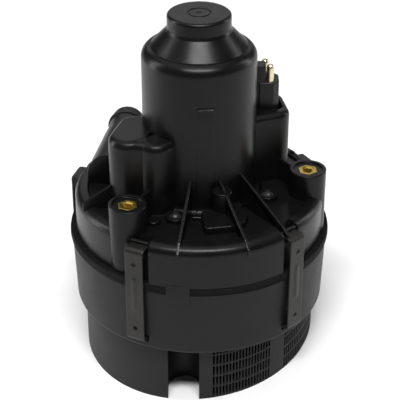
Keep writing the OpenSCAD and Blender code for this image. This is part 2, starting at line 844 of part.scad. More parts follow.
module suppression_chokes() {
  color("darkkhaki") for (p = [bulge_side, bulge_front]) translate([p[0], p[1], deck_z]) {
    cylinder(r = 2.8, h = 30);
    translate([0, 0, 4]) cylinder(r = 4.2, h = 22);
  }
}

module suppression_capacitor() {
  color("steelblue") translate([bulge_rear[0] - 2.5, bulge_rear[1] - 3, deck_z]) cube([5, 7, 16]);
}

// ---------------------------------------------------------------- bearings

module bearing_outer(z) {
  color("silver") translate([0, 0, z]) difference() {
    cylinder(r = bearing_out_r, h = bearing_w);
    translate([0, 0, -1]) cylinder(r = bearing_race_out_r, h = bearing_w + 2);
    translate([0, 0, bearing_w / 2]) rotate_extrude()
      translate([ball_orbit_r, 0]) circle(r = ball_r + run_fit);
  }
}

module bearing_inner(z) {
  color("silver") translate([0, 0, z]) difference() {
    cylinder(r = bearing_race_in_r, h = bearing_w);
    translate([0, 0, -1]) cylinder(r = shaft_r, h = bearing_w + 2);
    translate([0, 0, bearing_w / 2]) rotate_extrude()
      translate([ball_orbit_r, 0]) circle(r = ball_r + run_fit);
  }
}

module bearing_balls(z) {
  cage_t = 0.8;
  color("silver") translate([0, 0, z + bearing_w / 2]) {
    for (i = [0 : ball_count - 1]) rotate([0, 0, 360 / ball_count * i])
      translate([ball_orbit_r, 0, 0]) sphere(r = ball_r);
    ring(ball_orbit_r + 0.6, ball_orbit_r - 0.6, -cage_t / 2, cage_t);
  }
}

module lower_bearing_outer() bearing_outer(lower_bearing_z);
module upper_bearing_outer() bearing_outer(upper_bearing_z);
module lower_bearing_inner() bearing_inner(lower_bearing_z);
module upper_bearing_inner() bearing_inner(upper_bearing_z);
module lower_bearing_balls() bearing_balls(lower_bearing_z);
module upper_bearing_balls() bearing_balls(upper_bearing_z);

// ---------------------------------------------------------------- rotor

module rotor_shaft() {
  color("silver") {
    translate([0, 0, lower_hub_z]) cylinder(r = shaft_r, h = shaft_top_z - lower_hub_z);
    translate([0, 0, nut_z - 1]) cylinder(r = thread_r, h = lower_hub_z - nut_z + 1 + lap);
  }
}

module armature_core() {
  color("gray") difference() {
    translate([0, 0, core_z]) cylinder(r = armature_r, h = armature_l);
    translate([0, 0, core_z - 1]) cylinder(r = shaft_r, h = armature_l + 2);
    for (i = [0 : bar_count - 1]) rotate([0, 0, 360 / bar_count * i]) {
      translate([armature_r - 2, -0.8, core_z - 1]) cube([4, 1.6, armature_l + 2]);
      translate([armature_r - 5, 0, core_z - 1]) cylinder(r = 2.6, h = armature_l + 2, $fn = 24);
    }
  }
}

module armature_windings() {
  color("chocolate") {
    for (z = [core_z - winding_h, core_z + armature_l]) translate([0, 0, z])
      linear_extrude(height = winding_h) difference() {
        union() {
          circle(r = armature_r - 4);
          for (i = [0 : bar_count - 1]) rotate([0, 0, 360 / bar_count * i])
            translate([armature_r - 5, 0]) circle(r = 3, $fn = 24);
        }
        circle(r = shaft_r + 2);
      }
    for (i = [0 : bar_count - 1]) rotate([0, 0, 360 / bar_count * i])
      translate([armature_r - 5, 0, core_z - 1]) cylinder(r = 2.4, h = armature_l + 2, $fn = 24);
  }
}

module commutator() {
  color("sienna") difference() {
    union() {
      translate([0, 0, commutator_z]) cylinder(r = commutator_r, h = commutator_h);
      translate([0, 0, commutator_z + commutator_h - 1]) cylinder(r = commutator_r + 1.5, h = 1);
    }
    translate([0, 0, commutator_z - 1]) cylinder(r = shaft_r, h = commutator_h + 2);
    for (i = [0 : bar_count - 1]) rotate([0, 0, 360 / bar_count * (i + 0.5)])
      translate([commutator_r - 1, -0.25, commutator_z - 1]) cube([4, 0.5, commutator_h + 2]);
  }
}

// One blade: an arc of the plan from the eye to the rim, leaning back.
module blade(r0, r1, z0, h) {
  sweep = -48;
  bend = 46;
  t = 1.2;
  p0 = [r0, 0];
  p1 = [r1 * cos(sweep), r1 * sin(sweep)];
  chord = p1 - p0;
  side = [-chord[1], chord[0]] / norm(chord);
  centre = (p0 + p1) / 2 + side * sqrt(bend * bend - norm(chord) * norm(chord) / 4);
  a0 = atan2(p0[1] - centre[1], p0[0] - centre[0]);
  a1 = atan2(p1[1] - centre[1], p1[0] - centre[0]);
  turn = a1 > a0 ? a1 - a0 : a1 - a0 + 360;
  translate([centre[0], centre[1], z0]) rotate([0, 0, a0])
    rotate_extrude(angle = turn) translate([bend - t / 2, 0]) square([t, h]);
}

// Closed fan wheel: a back plate on top, blades, a flat shroud below and a hub.
module fan_wheel(z, h, hub_h) {
  plate_t = 1.5;
  inlet_r = eye_r - 3;
  color([0.3, 0.3, 0.32]) difference() {
    union() {
      translate([0, 0, z + h - plate_t]) cylinder(r = wheel_r, h = plate_t);
      ring(wheel_r, inlet_r, z, plate_t);
      for (i = [0 : blades - 1])
        rotate([0, 0, 360 / blades * i])
          blade(inlet_r + 1, wheel_r - 1, z + plate_t - lap, h - 2 * plate_t + 2 * lap);
      translate([0, 0, z + h - hub_h]) cylinder(r = hub_r, h = hub_h);
    }
    translate([0, 0, z - 20]) cylinder(r = shaft_r, h = h + 40);
  }
}

module lower_impeller() fan_wheel(lower_wheel_z, lower_wheel_h, lower_wheel_h);
module upper_impeller() fan_wheel(upper_wheel_z, upper_wheel_h, upper_wheel_h);

module impeller_spacer() {
  bottom = lower_wheel_z + lower_wheel_h;
  color("silver") ring(shaft_r + 3, shaft_r, bottom, upper_wheel_z - bottom);
}

module impeller_washer() {
  color("silver") ring(shaft_r + 4, thread_r, nut_z + nut_h, washer_t);
}

module impeller_nut() {
  color("silver") difference() {
    translate([0, 0, nut_z]) cylinder(d = 2 * (thread_r + 2) / cos(30), h = nut_h, $fn = 6);
    translate([0, 0, nut_z - 1]) cylinder(r = thread_r, h = nut_h + 2);
  }
}

// ---------------------------------------------------------------- clips

module clip(i) {
  leg_z = clip_hook_z - clip_t / 2;
  out_r = clip_in_r + clip_t;
  bead_l = 20;
  bead_z = (leg_z + clip_top_z) / 2 + 1;
  color([0.3, 0.3, 0.3]) at_az(clip_az[i]) difference() {
    union() {
      translate([clip_in_r, -clip_w / 2, leg_z]) cube([clip_t, clip_w, clip_top_z - leg_z]);
      translate([clip_tip_r, -clip_w / 2, leg_z]) cube([out_r - clip_tip_r, clip_w, clip_t]);
      translate([clip_top_r, -clip_w / 2, clip_top_z - clip_t]) cube([out_r - clip_top_r, clip_w, clip_t]);
      translate([clip_top_r, clip_w / 2, clip_top_z]) rotate([90, 0, 0]) cylinder(r = clip_t, h = clip_w);
      translate([clip_tip_r + clip_roll_r, clip_w / 2, clip_hook_z]) rotate([90, 0, 0])
        cylinder(r = clip_roll_r, h = clip_w);
      translate([clip_in_r + clip_t, -1, bead_z - bead_l / 2]) cube([0.5, 2, bead_l]);
    }
    for (z = [leg_z + 8, clip_top_z - 9])
      translate([clip_in_r - 2, 0, z]) rotate([0, 90, 0]) cylinder(r = 1.25, h = 6);
  }
}

module clip_1() clip(0);
module clip_2() clip(1);
module clip_3() clip(2);
module clip_4() clip(3);
module clip_5() clip(4);

motor_cover();
mounting_inserts();
cover_seal();
fan_ring();
intake_base();
intake_filter();
stage_plate();
base_screws();
deck_screws();
connector_block();
terminal_pins();
outlet_seal_ring();
motor_mount_plate();
motor_can();
field_magnets();
damper_rings();
brush_plate();
brush_springs();
bus_bars();
suppression_chokes();
suppression_capacitor();
lower_bearing_outer();
upper_bearing_outer();
lower_bearing_balls();
upper_bearing_balls();
lower_bearing_inner();
upper_bearing_inner();
rotor_shaft();
armature_core();
armature_windings();
commutator();
lower_impeller();
upper_impeller();
impeller_spacer();
impeller_washer();
impeller_nut();
brush_1();
brush_2();
clip_1();
clip_2();
clip_3();
clip_4();
clip_5();
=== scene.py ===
"""Looks of an electric secondary air pump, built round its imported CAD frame.

The classes hold their sizes in millimetres, and a mesh holds metres. The rotor
axis is +Z, and an azimuth is counted from -Y towards +X.
"""

import json
import logging
import math
from dataclasses import dataclass, field
from enum import Enum, auto
from typing import Optional, Sequence

import bmesh
import bpy
import numpy as np
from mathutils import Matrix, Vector

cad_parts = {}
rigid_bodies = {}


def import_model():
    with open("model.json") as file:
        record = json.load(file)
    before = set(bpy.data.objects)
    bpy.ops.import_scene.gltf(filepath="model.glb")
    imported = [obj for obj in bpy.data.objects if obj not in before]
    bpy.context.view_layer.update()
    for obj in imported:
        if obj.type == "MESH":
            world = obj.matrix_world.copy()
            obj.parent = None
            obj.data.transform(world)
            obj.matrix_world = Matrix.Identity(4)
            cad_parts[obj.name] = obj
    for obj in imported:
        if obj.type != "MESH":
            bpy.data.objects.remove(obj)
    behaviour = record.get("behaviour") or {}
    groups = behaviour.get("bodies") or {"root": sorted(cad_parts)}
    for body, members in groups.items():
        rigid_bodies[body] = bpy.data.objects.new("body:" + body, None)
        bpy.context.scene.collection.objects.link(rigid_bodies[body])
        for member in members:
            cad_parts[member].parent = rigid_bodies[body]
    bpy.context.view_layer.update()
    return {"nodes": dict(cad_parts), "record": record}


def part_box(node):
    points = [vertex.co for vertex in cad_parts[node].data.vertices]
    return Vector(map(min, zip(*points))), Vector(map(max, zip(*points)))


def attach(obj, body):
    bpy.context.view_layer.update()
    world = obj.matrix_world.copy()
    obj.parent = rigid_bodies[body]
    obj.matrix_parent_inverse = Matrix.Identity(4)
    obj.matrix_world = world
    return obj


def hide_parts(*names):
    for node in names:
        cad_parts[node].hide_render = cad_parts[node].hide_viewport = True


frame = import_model()

Array = np.ndarray
Colour = tuple[float, float, float]
Point = tuple[float, float, float]
MM = 0.001
LOG = logging.getLogger("air_pump")


# ------------------------------------------------------------------ shader maths


class Value:
    """A number that varies over a surface: one output socket, with arithmetic."""

    def __init__(self, tree: "Tree", socket: bpy.types.NodeSocket) -> None:
        """Keeps the socket and the tree that new Math nodes go into."""
        self.tree = tree
        self.socket = socket

    def _math(self, operation: str, *numbers: "Value | float") -> "Value":
        """Adds one Math node over the given numbers."""
        return self.tree.value("ShaderNodeMath", {"operation": operation}, dict(enumerate(numbers)))

    def __add__(self, other: "Value | float") -> "Value":
        """Sum."""
        return self._math("ADD", self, other)

    def __radd__(self, other: float) -> "Value":
        """Reflected sum."""
        return self._math("ADD", other, self)

    def __mul__(self, other: "Value | float") -> "Value":
        """Product."""
        return self._math("MULTIPLY", self, other)

    def __rmul__(self, other: float) -> "Value":
        """Reflected product."""
        return self._math("MULTIPLY", other, self)

    def smooth(self, low: float, high: float) -> "Value":
        """Smooth step from 0 at low to 1 at high."""
        settings = {"interpolation_type": "SMOOTHSTEP"}
        sockets = {"Value": self, "From Min": low, "From Max": high, "To Min": 0.0, "To Max": 1.0}
        return self.tree.value("ShaderNodeMapRange", settings, sockets)


class Tree:
    """Node tree of one material, built through a single node-making method."""

    def __init__(self, name: str) -> None:
        """Starts an empty material with its output node."""
        self.material = bpy.data.materials.new(name)
        self.material.use_nodes = True
        self.tree = self.material.node_tree
        self.tree.nodes.clear()

    def node(
        self,
        kind: str,
        settings: Optional[dict[str, object]] = None,
        sockets: Optional[dict[object, object]] = None,
    ) -> bpy.types.Node:
        """Adds a node.

        Args:
            kind: The node's type name.
            settings: Properties that are set first.
            sockets: Values or links by socket name or number.

        Returns:
            The new node.
        """
        made = self.tree.nodes.new(kind)
        for key, setting in (settings or {}).items():
            setattr(made, key, setting)
        for key, wanted in (sockets or {}).items():
            source = wanted.socket if isinstance(wanted, Value) else wanted
            if isinstance(source, bpy.types.NodeSocket):
                self.tree.links.new(source, made.inputs[key])
            else:
                made.inputs[key].default_value = source
        return made

    def value(
        self, kind: str, settings: dict[str, object], sockets: dict[object, object]
    ) -> Value:
        """Adds a node and wraps its first output as a number."""
        return Value(self, self.node(kind, settings, sockets).outputs[0])

    def place(self) -> bpy.types.NodeSocket:
        """The surface point in the shared frame."""
        return self.node("ShaderNodeTexCoord").outputs["Object"]

    def noise(self, point: bpy.types.NodeSocket, size: float, detail: float = 3.0,
              distortion: float = 0.0) -> Value:
        """Soft noise with blotches of the given size in millimetres, from 0 to 1."""
        sockets = {"Vector": point, "Scale": 1.0 / (size * MM), "Detail": detail,
                   "Roughness": 0.55, "Distortion": distortion}
        return self.value("ShaderNodeTexNoise", {}, sockets)

    def cells(self, point: bpy.types.NodeSocket, size: float) -> Value:
        """Distance to the nearest of scattered points about size millimetres apart."""
        sockets = {"Vector": point, "Scale": 1.0 / (size * MM), "Randomness": 1.0}
        return self.value("ShaderNodeTexVoronoi", {"feature": "F1"}, sockets)

    def waves(self, point: bpy.types.NodeSocket, size: float, direction: str,
              distortion: float) -> Value:
        """Bands across a direction, with the given spacing in millimetres."""
        settings = {"wave_type": "BANDS", "bands_direction": direction}
        sockets = {"Vector": point, "Scale": 1.0 / (size * MM), "Distortion": distortion}
        return Value(self, self.node("ShaderNodeTexWave", settings, sockets).outputs[1])

    def stretched(self, point: bpy.types.NodeSocket, scale: Colour) -> bpy.types.NodeSocket:
        """The point with each axis multiplied, which draws a pattern out along an axis."""
        sockets = {0: point, 1: scale}
        return self.node("ShaderNodeVectorMath", {"operation": "MULTIPLY"}, sockets).outputs[0]

    def blend(self, share: Value, low: Colour, high: Colour) -> bpy.types.NodeSocket:
        """Colour between low and high."""
        sockets = {0: share, 6: (*low, 1.0), 7: (*high, 1.0)}
        return self.node("ShaderNodeMix", {"data_type": "RGBA"}, sockets).outputs[2]

    def relief(self, height: Value, depth: float,
               under: Optional[bpy.types.NodeSocket] = None) -> bpy.types.NodeSocket:
        """Normal of a surface raised by height times depth millimetres."""
        sockets = {"Height": height, "Distance": depth * MM, "Strength": 1.0}
        if under is not None:
            sockets["Normal"] = under
        return self.node("ShaderNodeBump", {}, sockets).outputs[0]

    def surface(self, sockets: dict[object, object]) -> bpy.types.Material:
        """Adds the surface shader and the output, and returns the finished material."""
        shader = self.node("ShaderNodeBsdfPrincipled", {}, sockets)
        self.node("ShaderNodeOutputMaterial", {}, {"Surface": shader.outputs[0]})
        return self.material


class Grain(Enum):
    """Kind of fine texture that a surface has."""

    MOULDED = auto()
    RUBBER = auto()
    BRUSHED = auto()
    TURNED = auto()
    SINTERED = auto()
    FOAM = auto()
    WOUND = auto()
    LAMINATED = auto()


@dataclass(frozen=True)
class Finish:
    """A surface finish: two tones, a range of gloss and a grain with its relief."""

    name: str
    dark: Colour
    light: Colour
    gloss: tuple[float, float]
    grain: Grain = Grain.MOULDED
    grain_size: float = 0.35
    depth: float = 0.01
    metallic: float = 0.0
    specular: float = 0.5
    blotch: float = 14.0

    def _grain(self, tree: Tree, point: bpy.types.NodeSocket) -> Value:
        """The height of the fine texture, from 0 to 1."""
        size = self.grain_size
        drawn_out = {Grain.BRUSHED: (1.0, 1.0, 0.08), Grain.TURNED: (0.1, 0.1, 1.0)}
        if self.grain in drawn_out:
            return tree.noise(tree.stretched(point, drawn_out[self.grain]), size, 4.0)
        if self.grain is Grain.SINTERED:
            return tree.cells(point, size) * 0.6 + tree.noise(point, size * 2.0) * 0.4
        if self.grain is Grain.FOAM:
            return tree.cells(point, size).smooth(0.15, 0.75)
        if self.grain is Grain.WOUND:
            return tree.waves(point, size, "DIAGONAL", 1.5)
        if self.grain is Grain.LAMINATED:
            return tree.waves(point, size, "Z", 0.1)
        if self.grain is Grain.RUBBER:
            return tree.noise(point, size, 5.0) * 0.7 + tree.noise(point, size * 6.0) * 0.3
        fine = tree.cells(point, size).smooth(0.1, 0.8)
        return fine * 0.5 + tree.noise(point, size * 2.2, 4.0) * 0.5

    def build(self) -> bpy.types.Material:
        """Makes the material once, and hands out the same one afterwards.

        Returns:
            The material.
        """
        known = bpy.data.materials.get(self.name)
        if known is not None:
            return known
        tree = Tree(self.name)
        point = tree.place()
        blotch = tree.noise(point, self.blotch, 4.0, 0.4)
        grain = self._grain(tree, point)
        handling = tree.noise(point, self.blotch * 0.23, 6.0, 1.2).smooth(0.52, 0.72)
        tone = (blotch * 0.7 + grain * 0.3).smooth(0.2, 0.85)
        rough = tone * (self.gloss[1] - self.gloss[0]) + self.gloss[0]
        rough = rough + handling * (0.12 * (self.gloss[1] - self.gloss[0]))
        swell = tree.relief(blotch, self.depth * 2.0)
        return tree.surface({
            "Base Color": tree.blend(tone, self.dark, self.light),
            "Roughness": rough,
            "Metallic": self.metallic,
            "Specular IOR Level": self.specular,
            "Normal": tree.relief(grain, self.depth, swell),
        })


def grey(level: float, warmth: float = 0.0) -> Colour:
    """A near-neutral colour, warmer when warmth is above 0."""
    return (level * (1.0 + warmth), level, level * (1.0 - warmth))


FINISHES: dict[str, Finish] = {finish.name: finish for finish in (
    Finish("cover_plastic", grey(0.003), grey(0.006), (0.26, 0.38), depth=0.005, specular=0.2),
    Finish("housing_plastic", grey(0.006), grey(0.011), (0.42, 0.55), depth=0.007, specular=0.2),
    Finish("base_plastic", grey(0.011, 0.01), grey(0.018, 0.01), (0.45, 0.6), depth=0.008,
           specular=0.2),
    Finish("seal_rubber", grey(0.002), grey(0.004), (0.65, 0.8), Grain.RUBBER, 0.2, 0.008,
           specular=0.15),
    Finish("soft_rubber", grey(0.008), grey(0.016), (0.55, 0.75), Grain.RUBBER, 0.25, 0.008,
           specular=0.35),
    Finish("insert_brass", (0.55, 0.36, 0.06), (0.8, 0.58, 0.14), (0.22, 0.4),
           Grain.TURNED, 0.15, 0.004, 1.0),
    Finish("gilt_brass", (0.66, 0.58, 0.38), (0.86, 0.8, 0.6), (0.25, 0.4),
           Grain.TURNED, 0.12, 0.003, 1.0),
    Finish("insulator_plastic", grey(0.004), grey(0.009), (0.32, 0.45), specular=0.3),
    Finish("clip_steel", grey(0.016, 0.05), grey(0.034, 0.05), (0.36, 0.52),
           Grain.BRUSHED, 0.2, 0.004, 0.55),
    Finish("plated_fasteners", grey(0.35), grey(0.52), (0.25, 0.4), Grain.TURNED, 0.15, 0.003, 1.0),
    Finish("plated_steel", grey(0.42, 0.01), grey(0.58, 0.01), (0.28, 0.42),
           Grain.BRUSHED, 0.25, 0.004, 1.0),
    Finish("ferrite", grey(0.03), grey(0.06), (0.5, 0.7), Grain.SINTERED, 0.3, 0.01),
    Finish("brush_plate_plastic", (0.09, 0.04, 0.02), (0.15, 0.07, 0.03), (0.4, 0.55)),
    Finish("spring_steel", grey(0.4), grey(0.55), (0.2, 0.35), Grain.BRUSHED, 0.15, 0.003, 1.0),
    Finish("copper_bars", (0.55, 0.24, 0.13), (0.78, 0.4, 0.24), (0.25, 0.4),
           Grain.BRUSHED, 0.2, 0.003, 1.0),
    Finish("choke_wire", (0.3, 0.1, 0.03), (0.6, 0.26, 0.09), (0.2, 0.35),
           Grain.LAMINATED, 0.9, 0.15, 0.9),
    Finish("capacitor_case", (0.02, 0.06, 0.16), (0.03, 0.09, 0.22), (0.3, 0.4)),
    Finish("bearing_steel", grey(0.5), grey(0.65), (0.12, 0.25), Grain.TURNED, 0.2, 0.002, 1.0),
    Finish("ground_steel", grey(0.45), grey(0.6), (0.15, 0.3), Grain.TURNED, 0.2, 0.003, 1.0),
    Finish("laminated_iron", grey(0.18), grey(0.32), (0.35, 0.5), Grain.LAMINATED, 0.5, 0.05, 0.9),
    Finish("enamelled_wire", (0.28, 0.09, 0.03), (0.5, 0.2, 0.07), (0.2, 0.35),
           Grain.WOUND, 0.8, 0.15, 0.8),
    Finish("commutator_copper", (0.5, 0.22, 0.12), (0.72, 0.38, 0.22), (0.22, 0.4),
           Grain.TURNED, 0.15, 0.004, 1.0),
    Finish("wheel_plastic", grey(0.03), grey(0.05), (0.4, 0.55)),
    Finish("stage_plastic", grey(0.04), grey(0.06), (0.42, 0.55)),
    Finish("filter_foam", grey(0.02), grey(0.05), (0.85, 0.95), Grain.FOAM, 1.2, 0.5, specular=0.2),
    Finish("carbon", grey(0.015), grey(0.04), (0.5, 0.7), Grain.SINTERED, 0.2, 0.01),
)}


# ------------------------------------------------------------------ shapes


def plan(radius: Array | float, azimuth: Array | float) -> Array:
    """Points (x, y) at a radius and an azimuth in degrees: r sin a, -r cos a."""
    angle = np.radians(azimuth)
    return np.stack(np.broadcast_arrays(radius * np.sin(angle), -radius * np.cos(angle)), -1)


def placed(radius: Array, azimuth: Array | float, height: Array | float) -> Array:
    """Points (x, y, z) at a radius, an azimuth in degrees and a height."""
    flat = plan(radius, azimuth)
    height = np.broadcast_to(height, flat.shape[:-1])
    return np.concatenate([flat, height[..., None]], -1)


def cylindrical(grid: Array) -> tuple[Array, Array, Array]:
    """Radius, azimuth in degrees and height of every point of a grid."""
    x, y, z = np.moveaxis(grid, -1, 0)
    return np.hypot(x, y), np.degrees(np.arctan2(x, -y)), z


def turned_from(azimuth: Array, centre: float) -> Array:
    """Angle in radians from the azimuth of a centre, between -pi and pi."""
    return np.radians((azimuth - centre + 180.0) % 360.0 - 180.0)


def smooth(x: Array, low: float, high: float) -> Array:
    """Smooth step 3t^2 - 2t^3, where t runs from 0 at low to 1 at high."""
    t = np.clip((x - low) / (high - low), 0.0, 1.0)
    return t * t * (3.0 - 2.0 * t)


def within(distance: Array, half: float, soft: float) -> Array:
    """1 below half and 0 above it, with a smooth step from half - soft to half + soft."""
    return 1.0 - smooth(distance, half - soft, half + soft)


def between(x: Array, low: float, high: float, soft: float) -> Array:
    """1 between low and high and 0 outside, with a smooth step of half width soft at each."""
    return smooth(x, low - soft, low + soft) * within(x, high, soft)


def rounded(points: Sequence, radii: float | Sequence[float], closed: bool = False,
            steps: int = 7) -> Array:
    """Path with each corner replaced by a circular arc.

    At a corner P with unit directions d in and e out, turned by a, and with n the
    unit normal towards the inside, the arc is P - d r tan(a/2) + r (d sin t + n (1 - cos t))
    for t from 0 to a.

    Args:
        points: Corners (n, 2).
        radii: One radius, or one for each corner.
        closed: Whether the last corner joins the first.
        steps: Points on each arc.

    Returns:
        The points of the rounded path (m, 2).
    """
    p = np.asarray(points, float)
    r = np.array(np.broadcast_to(np.asarray(radii, float), len(p)))
    into, out = p - np.roll(p, 1, 0), np.roll(p, -1, 0) - p
    if not closed:
        into[0], out[-1], r[0], r[-1] = out[0], into[-1], 0.0, 0.0
    d = into / np.linalg.norm(into, axis=1, keepdims=True)
    e = out / np.linalg.norm(out, axis=1, keepdims=True)
    cosine = np.clip((d * e).sum(1), -1.0, 1.0)
    turn = np.arccos(cosine)
    n = e - d * cosine[:, None]
    n /= np.maximum(np.linalg.norm(n, axis=1, keepdims=True), 1e-9)
    start = p - d * (r * np.tan(turn / 2.0))[:, None]
    t = turn[:, None] * np.linspace(0.0, 1.0, steps)
    arc = d[:, None] * np.sin(t)[..., None] + n[:, None] * (1.0 - np.cos(t))[..., None]
    path = (start[:, None] + r[:, None, None] * arc).reshape(-1, 2)
    keep = np.linalg.norm(np.diff(path, axis=0, prepend=path[:1] - 1.0), axis=1) > 1e-5
    return path[keep]


def refined(path: Array, step: float, closed: bool = False) -> Array:
    """Path with points added so that none is farther than a step from the next.

    Args:
        path: Points (n, k).
        step: Longest distance between neighbours.
        closed: Whether the stretch from the last point to the first gets points too.

    Returns:
        The points of the finer path.
    """
    if closed:
        return refined(np.concatenate([path, path[:1]]), step)[:-1]
    along = np.concatenate([[0.0], np.cumsum(np.linalg.norm(np.diff(path, axis=0), axis=1))])
    where = np.union1d(along, np.linspace(0.0, along[-1], int(along[-1] / step) + 1))
    return np.stack([np.interp(where, along, path[:, k]) for k in range(path.shape[1])], 1)


def revolved(section: Array, steps: int = 96, first: float = 0.0, last: float = 360.0) -> Array:
    """Half section (radius, height) turned about +Z: x = r sin a, y = -r cos a."""
    whole = abs(last - first) >= 360.0
    azimuth = np.linspace(first, last, steps, endpoint=not whole)
    return placed(section[:, :1], azimuth[None, :], section[:, 1:2])


def around_posts(centres: Sequence, radii: Sequence[float], section: Array,
                 steps: int = 120) -> Array:
    """Section (outward offset, height) carried round the hull of upright round posts.

    In the direction u the hull's outline is c + r u, for the post whose c.u + r is the
    largest, so an offset only adds to r.

    Args:
        centres: Post centres (n, 2).
        radii: Post radii.
        section: Points (offset, height).
        steps: Points round the outline.

    Returns:
        Grid (section points, steps, 3).
    """
    c, r = np.asarray(centres, float), np.asarray(radii, float)
    u = plan(1.0, np.linspace(0.0, 360.0, steps, endpoint=False))
    post = np.argmax(c @ u.T + r[:, None], axis=0)
    flat = c[post][None] + (r[post][None, :, None] + section[:, 0, None, None]) * u[None]
    height = np.broadcast_to(section[:, 1, None, None], (*flat.shape[:2], 1))
    return np.concatenate([flat, height], -1)


def round_outline(outline: Array, section: Array) -> Array:
    """Section (outward offset, height) carried round a closed outline.

    Every outline point moves along its normal, which is the direction between its
    neighbours turned by a right angle, away from the outline's middle.
    """
    run = np.roll(outline, -1, 0) - np.roll(outline, 1, 0)
    normal = np.stack([run[:, 1], -run[:, 0]], 1)
    normal /= np.maximum(np.linalg.norm(normal, axis=1, keepdims=True), 1e-9)
    following = np.roll(outline, -1, 0)
    area = (outline[:, 0] * following[:, 1] - following[:, 0] * outline[:, 1]).sum()
    flat = outline[None] + section[:, 0, None, None] * normal[None] * np.sign(area)
    height = np.broadcast_to(section[:, 1, None, None], (*flat.shape[:2], 1))
    return np.concatenate([flat, height], -1)


def block_section(low: float, high: float, top: float, foot: float = 0.0,
                  bottom: float = 0.0) -> Array:
    """Section (offset, height) of a solid's side.

    Args:
        low: Lower height.
        high: Upper height.
        top: Radius of the rounded top edge.
        foot: Radius of the hollow curve in which the side runs out at its foot.
        bottom: Radius of a rounded bottom edge.

    Returns:
        Points from the bottom to the top.
    """
    if foot > 0.0:
        path = [(foot, low), (0.0, low), (0.0, high), (-top - 0.01, high)]
        return rounded(path, (0.0, foot, top, 0.0))
    path = [(-bottom - 0.01, low), (0.0, low), (0.0, high), (-top - 0.01, high)]
    return rounded(path, (0.0, bottom, top, 0.0))


@dataclass(frozen=True)
class Axes:
    """A local frame: its origin and the directions of its x, y and z."""

    origin: Point = (0.0, 0.0, 0.0)
    x: Point = (1.0, 0.0, 0.0)
    y: Point = (0.0, 1.0, 0.0)
    z: Point = (0.0, 0.0, 1.0)

    def put(self, points: Array) -> Array:
        """Local points in the shared frame: o + x X + y Y + z Z."""
        return points @ np.array([self.x, self.y, self.z]) + np.array(self.origin)

    @staticmethod
    def outward(azimuth: float, origin: Point = (0.0, 0.0, 0.0)) -> "Axes":
        """Frame whose x points outwards at an azimuth and whose z is the rotor's."""
        x, y = plan(1.0, azimuth)
        return Axes(origin, (x, y, 0.0), (-y, x, 0.0), (0.0, 0.0, 1.0))

    @staticmethod
    def upright(start: Array, end: Array) -> "Axes":
        """Frame whose x runs between two points of the plan and whose y is up."""
        x, y = (end - start) / np.linalg.norm(end - start)
        return Axes((start[0], start[1], 0.0), (x, y, 0.0), (0.0, 0.0, 1.0), (y, -x, 0.0))


def added(name: str, data: bpy.types.ID) -> bpy.types.Object:
    """Makes an object of the data and links it to the scene."""
    made = bpy.data.objects.new(name, data)
    bpy.context.scene.collection.objects.link(made)
    return made


class Skin:
    """Collects grids of points and makes one mesh from them."""

    def __init__(self) -> None:
        """Starts with no points."""
        self.points: list[Array] = []
        self.faces: list[list[int]] = []
        self.count = 0

    def _keep(self, points: Array) -> Array:
        """Stores points and returns their numbers in the same arrangement."""
        ids = self.count + np.arange(points[..., 0].size).reshape(points.shape[:-1])
        self.points.append(points.reshape(-1, 3))
        self.count += points[..., 0].size
        return ids

    def grid(self, points: Array, around: bool = True, along: bool = False,
             lids: bool = False) -> "Skin":
        """Joins a grid (m, n, 3) by quads.

        Args:
            points: The grid.
            around: Whether the last column joins the first.
            along: Whether the last row joins the first.
            lids: Whether the first and the last row are each closed by one flat face.

        Returns:
            This skin, so that calls can follow one another.
        """
        ids = self._keep(points)
        if lids:
            self.faces += [ids[0].tolist(), ids[-1].tolist()]
        ids = np.concatenate([ids, ids[:, :1]], 1) if around else ids
        ids = np.concatenate([ids, ids[:1]], 0) if along else ids
        quads = np.stack([ids[:-1, :-1], ids[:-1, 1:], ids[1:, 1:], ids[1:, :-1]], -1)
        self.faces += quads.reshape(-1, 4).tolist()
        return self

    def piece(self, name: str, finish: str, stands_for: Sequence[str], body: str = "housing",
              crease: float = 38.0) -> bpy.types.Object:
        """Makes the object, dresses it and ties it to the frame.

        Args:
            name: The piece's name.
            finish: Material slot of the record.
            stands_for: CAD nodes that it replaces.
            body: CAD body that it rides on.
            crease: Angle in degrees above which an edge stays sharp.

        Returns:
            The object.
        """
        mesh = bpy.data.meshes.new(name)
        mesh.from_pydata(np.concatenate(self.points) * MM, [], self.faces)
        work = bmesh.new()
        work.from_mesh(mesh)
        bmesh.ops.remove_doubles(work, verts=work.verts, dist=2e-6)
        bmesh.ops.dissolve_degenerate(work, dist=1e-6, edges=work.edges)
        bmesh.ops.recalc_face_normals(work, faces=work.faces)
        work.to_mesh(mesh)
        work.free()
        mesh.shade_smooth()
        mesh.set_sharp_from_angle(angle=math.radians(crease))
        mesh.materials.append(FINISHES[finish].build())
        made = added(name, mesh)
        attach(made, body)
        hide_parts(*stands_for)
        LOG.info("%s: %d faces", name, len(mesh.polygons))
        return made


@dataclass(frozen=True)
class Levels:
    """Heights along the rotor axis, in millimetres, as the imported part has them."""

    ring: float
    seal: float
    skirt: float
    cap: float
    rim_rise: float = 23.7
    tower_rise: float = 76.0
    deck_drop: float = 1.5
    deck_thick: float = 2.5

    @property
    def rim(self) -> float:
        """Top of the cover's shoulder."""
        return self.skirt + self.rim_rise

    @property
    def deck(self) -> float:
        """Upper face of the deck."""
        return self.rim - self.deck_drop

    @property
    def under(self) -> float:
        """Lower face of the deck."""
        return self.deck - self.deck_thick

    @property
    def tower(self) -> float:
        """Top of the tower's straight wall."""
        return self.rim + self.tower_rise

    @staticmethod
    def of_part() -> "Levels":
        """Reads the levels from the CAD nodes' boxes."""
        ring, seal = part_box("fan_ring"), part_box("cover_seal")
        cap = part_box("motor_cover")[1].z
        return Levels(ring[0].z / MM, seal[0].z / MM, seal[1].z / MM, cap / MM)


